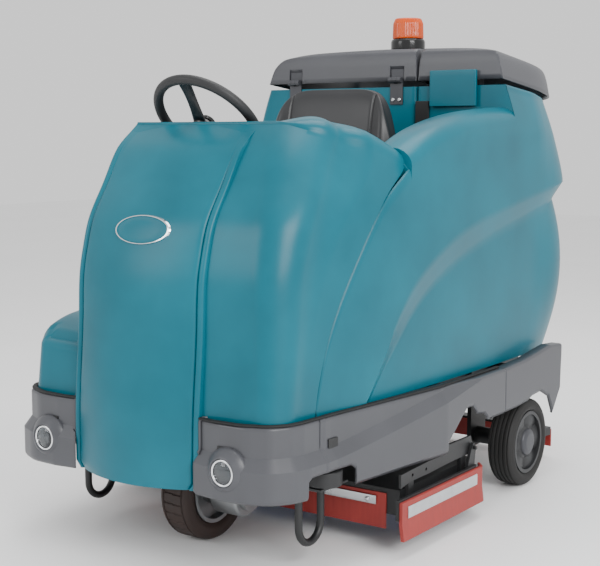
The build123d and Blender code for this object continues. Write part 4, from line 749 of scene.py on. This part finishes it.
# Epoxy powder coat on steel; textured ABS; polished ABS; natural rubber; glass-filled nylon; sand-cast aluminium;
# painted hinge steel; zinc plate; upholstery vinyl; polyurethane rubber; bristle; polycarbonate lenses; red ABS.
finish = {
    "teal_body": teal,
    "grey_body": grey,
    "black_steel": grained("black_powder_coat", ("#101112", "#1D1E20"), (0.38, 0.58), 1.6, 0.08),
    "black_plastic": grained("black_textured_abs", ("#141516", "#202123"), (0.45, 0.62), 1.1, 0.10),
    "gloss_black": grained("black_polished_abs", ("#0B0C0D", "#121314"), (0.12, 0.22), 2.0, 0.02),
    "tyre_rubber": grained("tyre_rubber", ("#101010", "#1E1D1C"), (0.62, 0.85), 2.2, 0.15, 60.0),
    "rim_plastic": grained("nylon_rim", ("#1B1C1E", "#2C2D2F"), (0.40, 0.55), 1.4, 0.08),
    "cast_grey": grained("cast_aluminium", ("#8B8D8F", "#A9ABAD"), (0.38, 0.6), 1.8, 0.12, 90.0, Metallic=1.0),
    "hinge_steel": grained("painted_hinge_steel", ("#36373B", "#46474C"), (0.35, 0.5), 1.5, 0.05, Metallic=0.3),
    "bright_steel": grained("zinc_plate", ("#B9BBBE", "#D4D6D8"), (0.22, 0.38), 1.0, 0.02, 40.0, Metallic=1.0),
    "seat_vinyl": grained("upholstery_vinyl", ("#17181A", "#242528"), (0.34, 0.5), 2.4, 0.25),
    "red_rubber": worn_rubber("red_polyurethane", ("#7C1815", "#A23A34")),
    "brush_fibre": bristle_pack("polypropylene_bristle", ("#1D3F86", "#3566B4")),
    "amber_lens": grained("amber_polycarbonate", ("#C23A00", "#E25C00"), (0.08, 0.16), 3.0, 0.03, 30.0,
                          Transmission_Weight=0.15),
    "lamp_clear": grained("clear_polycarbonate", ("#C9D0D4", "#E4E9EC"), (0.03, 0.06), 6.0, 0.005, 30.0,
                          Transmission_Weight=1.0),
    "lamp_housing": grey,
    "stop_red": grained("red_abs", ("#B3141A", "#CC2026"), (0.2, 0.32), 1.5, 0.03, 30.0),
}
silver = grained("vacuum_metallised", ("#D9DCDF", "#F1F3F5"), (0.08, 0.2), 2.0, 0.02, 20.0, Metallic=1.0)
# One black for the seals under the body and for the plate in the gap between the tanks, where it is painted shade.
gasket_and_painted_shade = grained("epdm_gasket_and_painted_shade", ("#08090A", "#111213"), (0.6, 0.8), 2.0, 0.10)
slot_shade.data.materials[0] = gasket_and_painted_shade
for part in frame["record"]["subparts"]:
    solid = cad[part["node"]]
    for each in solid.material_slots:
        each.material = finish[part["material_slot"]]


def turned(profile, centre, axis, steps=96, flute=None):
    """Spins a profile of (radius, distance) pairs about an axis; flute(angle) adds to the radius."""
    angle = np.linspace(0.0, 2 * math.pi, steps + 1)[None, :]
    radius = np.asarray(profile, float)[:, 0:1] + (0.0 if flute is None else flute(angle))
    along = np.asarray(profile, float)[:, 1:2] + 0.0 * angle
    across, up = radius * np.cos(angle), radius * np.sin(angle)
    order = {"x": (along, across, up), "y": (across, along, up), "z": (across, up, along)}[axis]
    return np.stack(order, -1) + np.array(centre)


def eased_profile(corners, radius=0.003):
    """An open profile of (radius, distance) pairs with its inner corners rounded by short arcs of a parabola."""
    corners = np.asarray(corners, float)
    path = [corners[0]]
    for before, here, after in zip(corners, corners[1:], corners[2:]):
        reach_in = min(radius, 0.45 * np.linalg.norm(here - before))
        reach_out = min(radius, 0.45 * np.linalg.norm(after - here))
        first = here + (before - here) / np.linalg.norm(before - here) * reach_in
        last = here + (after - here) / np.linalg.norm(after - here) * reach_out
        share = np.linspace(0.0, 1.0, 6)[:, None]
        path += list((1 - share) ** 2 * first + 2 * share * (1 - share) * here + share ** 2 * last)
    return np.array(path + [corners[-1]])


def swept(path, side, half_width, half_thick, power=2.0, steps=20):
    """Carries a superellipse along a path and closes both ends. Side is the direction of its width; the widths
    may vary along the path."""
    path, side = np.asarray(path, float), np.asarray(side, float)
    ahead = np.gradient(path, axis=0)
    ahead /= np.linalg.norm(ahead, axis=1, keepdims=True)
    side = side - ahead * (ahead * side).sum(1, keepdims=True)
    side /= np.linalg.norm(side, axis=1, keepdims=True)
    up = np.cross(ahead, side)
    angle = np.linspace(0.0, 2 * math.pi, steps + 1)
    wide = np.sign(np.cos(angle)) * np.abs(np.cos(angle)) ** (2 / power)
    tall = np.sign(np.sin(angle)) * np.abs(np.sin(angle)) ** (2 / power)
    wide_by, tall_by = np.broadcast_to(half_width, len(path)), np.broadcast_to(half_thick, len(path))
    rings = path[:, None] + side[:, None] * (wide_by[:, None] * wide)[..., None] \
        + up[:, None] * (tall_by[:, None] * tall)[..., None]
    ends = [np.repeat(path[end][None, None], steps + 1, 1) for end in (0, -1)]
    return np.concatenate([ends[0], rings, ends[1]])


def fit(name, points, material, body, slot, *nodes, inside=None, sharp_angle=30.0):
    """Makes a piece, fixes it to its body, and lets it stand in for any nodes named. The slot is not used."""
    piece = grid_mesh(name, points, material, inside=inside, sharp_angle=sharp_angle)
    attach(piece, body)
    if nodes:
        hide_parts(*nodes)
    return piece


# ---------------------------------------------------------------- headlights
# A shallow cone on each bumper corner, a dark recess, a chromed ring and a domed lens over a metallised bowl.
for number, turn in enumerate((1.0, -1.0)):
    side = ("left", "right")[number]
    middle = (turn * 0.334, 0.0, 0.321)
    cone = eased_profile([(0.0655, -0.880), (0.0655, -0.902), (0.058, -0.912), (0.042, -0.926), (0.0385, -0.926),
                          (0.0375, -0.905), (0.0, -0.903)], 0.006)
    fit("lamp_bump_" + side, turned(cone, middle, "y"), grey, "machine", "lamp_housing",
        *(("headlight_housings",) if number == 0 else ()))
    ring = rounded_outline([(0.0305, -0.906), (0.0375, -0.906), (0.0375, -0.924), (0.0305, -0.924)], [0.003] * 4,
                           arc_steps=6, gap=0.002)
    fit("lamp_ring_" + side, turned(np.vstack([ring, ring[:1]]), middle, "y"), silver, "machine", "lamp_clear")
    bowl = [(r, -0.9045 - 14.0 * r * r) for r in np.linspace(0.0, 0.030, 14)] + [(0.0312, -0.905), (0.0, -0.9035)]
    fit("lamp_bowl_" + side, turned(bowl, middle, "y"), silver, "machine", "lamp_clear")
    dome = [(r, -0.9275 + 8.5 * r * r) for r in np.linspace(0.002, 0.030, 16)]
    dome = [(0.0, -0.9275)] + dome + [(0.030, -0.917), (0.0, -0.9225)]
    fit("lamp_lens_" + side, turned(dome, middle, "y"), finish["lamp_clear"], "machine",
        "lamp_clear", *(("headlight_lenses",) if number == 0 else ()))


# ---------------------------------------------------------------- wheels
# Solid tyres: the rear pair has five grooves round the tread. The drive tyre has two, and short sipes between.
def tyre_section(half, outer, bead, grooves, depth=0.005):
    """Half-closed section from bead to bead: bulged walls, rounded shoulders and rounded grooves."""
    along = np.linspace(-half, half, 150)
    shoulder = np.clip((np.abs(along) - (half - 0.018)) / 0.018, 0.0, 1.0)
    radius = outer - 0.018 * (1.0 - np.sqrt(1.0 - 0.97 * shoulder ** 2))
    for place in grooves:
        radius = radius - depth * np.exp(-((along - place) / 0.0026) ** 4)
    wall = np.linspace(0.0, 1.0, 14)[1:]
    wall_radius = radius[-1] + (bead - radius[-1]) * wall
    wall_out = half + 0.004 * np.sin(wall * math.pi) - 0.010 * wall ** 3
    right = np.stack([wall_radius, wall_out], 1)
    left = np.stack([wall_radius[::-1], -wall_out[::-1]], 1)
    return np.vstack([left, np.stack([radius, along], 1), right, left[:1]])


rubber = finish["tyre_rubber"]
groove_places = (-0.030, -0.015, 0.0, 0.015, 0.030)
for side, turn in (("left", 1.0), ("right", -1.0)):
    hub = (turn * 0.517, 0.480, 0.150)
    fit("rear_tread_" + side, turned(tyre_section(0.044, 0.150, 0.106, groove_places), hub, "x", 128), rubber,
        "rear_wheel_" + side, "tyre_rubber", "rear_tyre_" + side)
    cap = eased_profile([(0.0, 0.049), (0.030, 0.048), (0.044, 0.043), (0.0475, 0.036), (0.0475, 0.020),
                         (0.0, 0.020)], 0.004)
    fit("hub_cap_" + side, turned(cap * np.array([1.0, turn]), hub, "x", 64), finish["hinge_steel"],
        "rear_wheel_" + side, "rim_plastic")
    dish = eased_profile([(0.1075, 0.041), (0.104, 0.041), (0.101, 0.030), (0.060, 0.026), (0.046, 0.036),
                          (0.040, 0.036), (0.040, 0.016), (0.1075, 0.016), (0.1075, 0.041)], 0.003)
    spokes = turned(dish * np.array([1.0, turn]), hub, "x", 144)
    reach = np.hypot(spokes[..., 1] - hub[1], spokes[..., 2] - hub[2])
    lobe = 0.5 + 0.5 * np.cos(6 * np.arctan2(spokes[..., 2] - hub[2], spokes[..., 1] - hub[1]))
    face = (np.abs(spokes[..., 0] - hub[0]) > 0.022) & (reach > 0.052) & (reach < 0.1005)
    spokes[..., 0] += turn * np.where(face, 0.010 * (lobe ** 0.35 - 0.5), 0.0)
    fit("rim_spokes_" + side, spokes, finish["rim_plastic"], "rear_wheel_" + side, "rim_plastic", sharp_angle=34.0)

drive_section = tyre_section(0.052, 0.150, 0.100, (-0.034, 0.034), 0.004)
drive_points = turned(drive_section, (0.0, -0.590, 0.150), "x", 360)
turn_angle = np.linspace(0.0, 2 * math.pi, 361)[None, :]
drive_reach = np.hypot(drive_points[..., 1] + 0.590, drive_points[..., 2] - 0.150)
tread = (np.abs(drive_points[..., 0]) < 0.030) & (drive_reach > 0.14)
sipe = np.where(tread, 0.0030 * (np.cos(30 * turn_angle + 3.0 * np.sign(drive_points[..., 0])) > 0.86), 0.0)
drive_points[..., 1] -= sipe * np.cos(turn_angle)
drive_points[..., 2] -= sipe * np.sin(turn_angle)
fit("drive_tread", drive_points, grained("drive_tyre_rubber", ("#231A17", "#3A2A25"), (0.6, 0.8), 2.2, 0.15, 60.0),
    "drive_wheel", "tyre_rubber", "drive_tyre")


# ---------------------------------------------------------------- seat
# Moulded foam in black vinyl. The cushion and the back are crowned closed forms with a raised bolster on each side,
# a sewn seam inside each bolster and a piped edge.
def upholstered(half_x, half_y, half_z, crown, bolster, seam_at, narrow=0.0):
    """A flattened superellipsoid: rows from the bottom pole to the top pole, columns round the plan. The top face
    swells by a crown, rises at the sides by the bolster and is drawn in along two seams and along the piping."""
    up = np.linspace(-math.pi / 2, math.pi / 2, 110)[:, None]
    around = np.linspace(0.0, 2 * math.pi, 221)[None, :]
    reach = np.cos(up) ** 0.42
    level = np.sign(np.sin(up)) * np.abs(np.sin(up)) ** 0.62
    x = half_x * reach * np.sign(np.cos(around)) * np.abs(np.cos(around)) ** 0.36
    y = half_y * reach * np.sign(np.sin(around)) * np.abs(np.sin(around)) ** 0.36
    x = x * (1.0 - narrow * ease(y, 0.1 * half_y, half_y))
    top = ease(level + 0.0 * around, -0.1, 0.6)
    share = np.abs(x) / half_x
    swell = crown * (1.0 - share ** 2) * (1.0 - (y / half_y) ** 2)
    side = bolster * ease(share, seam_at - 0.02, seam_at + 0.20) * (1.0 - 0.6 * ease(share, 0.86, 1.0))
    seam = 0.006 * np.exp(-((share - seam_at) / 0.016) ** 2)
    cross = 0.004 * np.exp(-((y / half_y - 0.30) / 0.02) ** 2) * (share < seam_at)
    z = half_z * level + top * (swell + side - seam - cross)
    piping = 0.0035 * np.exp(-((level + 0.0 * around - 0.42) / 0.09) ** 2)
    return x * (1.0 + piping / half_x), y * (1.0 + piping / half_y), z


vinyl = finish["seat_vinyl"]
low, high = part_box("seat_cushion")
x, y, z = upholstered(0.248, 0.176, 0.036, 0.008, 0.016, 0.64)
cushion = fit("seat_cushion_cover", np.stack([x, y + (low.y + high.y) / 2, z + low.z + 0.037], -1), vinyl, "seat",
              "seat_vinyl", "seat_cushion", sharp_angle=60.0)
low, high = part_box("seat_back")
half_tall = (high.z - low.z) / 2 - 0.002
x, t, d = upholstered(0.248, half_tall, 0.037, 0.010, 0.024, 0.66, narrow=0.16)
lean = (t + half_tall) / (2 * half_tall)
back_y = low.y + 0.062 + (high.y - low.y - 0.103) * lean - d
backrest = fit("seat_back_cover", np.stack([x, back_y, t + (low.z + high.z) / 2], -1), vinyl, "seat", "seat_vinyl",
               "seat_back", sharp_angle=60.0)


# ---------------------------------------------------------------- steering wheel
# A tilted wheel with a thick soft rim, finger swells on its lower left, three flat spokes and a bowl-shaped hub.
wheel_centre = np.array([0.0, -0.560, 1.244])
in_plane = np.array([0.0, -math.sqrt(0.5), math.sqrt(0.5)])
out_of_plane = np.array([0.0, math.sqrt(0.5), math.sqrt(0.5)])


def on_wheel(across, forward, out):
    """Places points given in the wheel's own plane: across, towards its high front edge, and out of the plane."""
    return wheel_centre + np.stack([across, 0.0 * across, 0.0 * across], -1) \
        + forward[..., None] * in_plane + out[..., None] * out_of_plane


round_rim = np.linspace(0.0, 2 * math.pi, 241)[:, None]
tube = np.linspace(0.0, 2 * math.pi, 25)[None, :]
fingers = 0.0016 * np.cos(44 * round_rim) * ease(np.cos(round_rim - 3.9), 0.80, 0.95)
tube_radius = 0.0148 + fingers
rim_reach = 0.163 + tube_radius * np.cos(tube)
gloss = finish["gloss_black"]
fit("wheel_rim", on_wheel(rim_reach * np.cos(round_rim), rim_reach * np.sin(round_rim), tube_radius * np.sin(tube)),
    finish["black_plastic"], "steering_wheel", "gloss_black", "steering_wheel")
for number, aim in enumerate((90.0, 210.0, 330.0)):
    share = np.linspace(0.0, 1.0, 20)
    reach = 0.020 + 0.135 * share
    angle = math.radians(aim)
    spine = on_wheel(reach * math.cos(angle), reach * math.sin(angle), -0.030 * (1.0 - share) ** 1.5)
    across = on_wheel(np.array([-math.sin(angle)]), np.array([math.cos(angle)]), np.array([0.0]))[0] - wheel_centre
    width = (0.0225 if number == 0 else 0.017) * (1.0 - 0.22 * np.sin(share * math.pi))
    fit("wheel_spoke_%d" % (number + 1), swept(spine, np.tile(across, (20, 1)), width, 0.0055, 3.2), gloss,
        "steering_wheel", "gloss_black")
dish = eased_profile([(0.0, -0.012), (0.020, -0.012), (0.034, -0.020), (0.036, -0.034), (0.022, -0.046),
                      (0.0, -0.046)], 0.006)
hub_angle = np.linspace(0.0, 2 * math.pi, 65)[None, :]
hub_out = dish[:, 1:2] + 0 * hub_angle
fit("wheel_hub", on_wheel(dish[:, :1] * np.cos(hub_angle), dish[:, :1] * np.sin(hub_angle), hub_out), gloss,
    "steering_wheel", "gloss_black")
shroud = eased_profile([(0.0, -0.026), (0.040, -0.028), (0.056, -0.045), (0.050, -0.075), (0.030, -0.090),
                        (0.0, -0.090)], 0.010)
squarish = (np.abs(np.cos(hub_angle)) ** 4 + np.abs(np.sin(hub_angle)) ** 4) ** -0.25
shroud_reach = shroud[:, :1] * squarish
fit("column_cowl", on_wheel(shroud_reach * np.cos(hub_angle), shroud_reach * np.sin(hub_angle) - 0.025,
                            shroud[:, 1:2] + 0 * hub_angle), gloss, "machine", "gloss_black")


# ---------------------------------------------------------------- beacon
# An amber lens with upright flutes and a chamfered crown on a stepped black base.
low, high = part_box("beacon_base")
stand = (0.045, 0.510, 0.0)
foot = eased_profile([(0.0, low.z), (0.061, low.z), (0.061, 1.531), (0.058, 1.538), (0.0545, 1.5405),
                      (0.0, 1.5405)], 0.003)
fit("beacon_foot", turned(foot, stand, "z"), gloss, "recovery_lid", "gloss_black", "beacon_base")
shell = eased_profile([(0.0, 1.5415), (0.0540, 1.5415), (0.0545, 1.548), (0.0530, 1.596), (0.0450, 1.6135),
                       (0.0, 1.6145)], 0.005)
fit("beacon_dome", turned(shell, stand, "z", 240, flute=lambda a: 0.0007 * np.cos(40 * a)), finish["amber_lens"],
    "recovery_lid", "amber_lens", "beacon_lens")


# ---------------------------------------------------------------- side blades and front flap
# Red rubber strips clamped under a steel band on each side of the deck, and a strip across its front.
for side, turn in (("left", 1.0), ("right", -1.0)):
    run = np.linspace(-0.436, 0.090, 70)
    plan = np.stack([turn * (0.5935 - 0.024 * ease(run, 0.045, 0.094) ** 2), run], 1)
    heights = np.array([.052, .054, .070, .100, .130, .160, .1635, .1650])[:, None]
    flare = 0.006 * ease(-heights, -0.10, -0.052)
    proud = 0.004 + flare - 0.004 * (heights > 0.164)
    outer = np.stack([plan[None, :, 0] + turn * proud, plan[None, :, 1] + 0 * heights, heights + 0 * run[None, :]],
                     -1)
    inner = outer.copy()
    inner[..., 0] -= turn * np.where(heights > 0.164, 0.003, 0.011)
    strip = np.concatenate([outer, inner[::-1], outer[:1]])
    ends = [np.repeat(strip[:, end].mean(0)[None, None], len(strip), 0) for end in (0, -1)]
    strip = np.concatenate([ends[0], strip, ends[1]], 1)
    fit("blade_rubber_" + side, strip, finish["red_rubber"], "side_blade_" + side, "red_rubber", "side_blade_" + side)
    band_run = np.linspace(-0.405, 0.020, 40)
    band_path = np.stack([np.full(40, turn * 0.5985), band_run, np.full(40, 0.131)], 1)
    fit("blade_band_" + side, swept(band_path, np.tile([0.0, 0.0, 1.0], (40, 1)), 0.0175, 0.0013, 4.0),
        finish["bright_steel"], "side_blade_" + side, "bright_steel")
strip_run = np.linspace(-0.470, 0.470, 60)
strip_path = np.stack([strip_run, np.full(60, -0.3728), np.full(60, 0.138)], 1)
fit("flap_band", swept(strip_path, np.tile([0.0, 0.0, 1.0], (60, 1)), 0.013, 0.0012, 4.0), finish["bright_steel"],
    "scrub_deck", "bright_steel")
screw = eased_profile([(0.0, -0.0060), (0.004, -0.0056), (0.0070, -0.0030), (0.0072, 0.0), (0.0, 0.0)], 0.001)
for number, place in enumerate(np.linspace(-0.44, 0.44, 7)):
    fit("flap_screw_%d" % (number + 1), turned(screw, (place, -0.3738, 0.138), "y", 24), finish["bright_steel"],
        "scrub_deck", "bright_steel")


# ---------------------------------------------------------------- badge, gaskets
# A blank oval plate on the nose panel, and the black seal that shows between the body and the grey skirts.
badge_round = np.linspace(0.0, 2 * math.pi, 97)[None, :]
badge_reach = np.array([0.0, 0.55, 0.80, 0.84, 0.86, 0.90, 0.92, 0.97, 1.0])[:, None]
badge_x = 0.010 + 0.100 * badge_reach * np.cos(badge_round)
badge_z = 0.945 + 0.040 * badge_reach * np.sin(badge_round)
badge_lift = np.array([.0040, .0036, .0032, .0040, .0040, .0032, .0046, .0042, 0.0])[:, None]
badge_y = panel_front(badge_x, badge_z) - badge_lift
fit("nose_badge_field", np.stack([badge_x, badge_y, badge_z], -1)[:7], finish["teal_body"], "machine", "teal_body",
    inside=(0.0, -0.3, 0.9))
fit("nose_badge_rim", np.stack([badge_x, badge_y, badge_z], -1)[6:], silver, "machine", "bright_steel",
    inside=(0.0, -0.3, 0.9))
for side, turn in (("left", 1.0), ("right", -1.0)):
    seal = np.stack([turn * (skirt_path[4:, 0] - 0.020), skirt_path[4:, 1], np.full(len(skirt_path) - 4, 0.4485)], 1)
    seal[:, 1] += 0.016 * ease(-seal[:, 1], 0.80, 0.90)
    fit("body_seal_" + side, swept(seal, np.tile([0.0, 0.0, 1.0], (len(seal), 1)), 0.0035, 0.008, 2.5), gasket_and_painted_shade,
        "machine", "black_plastic")
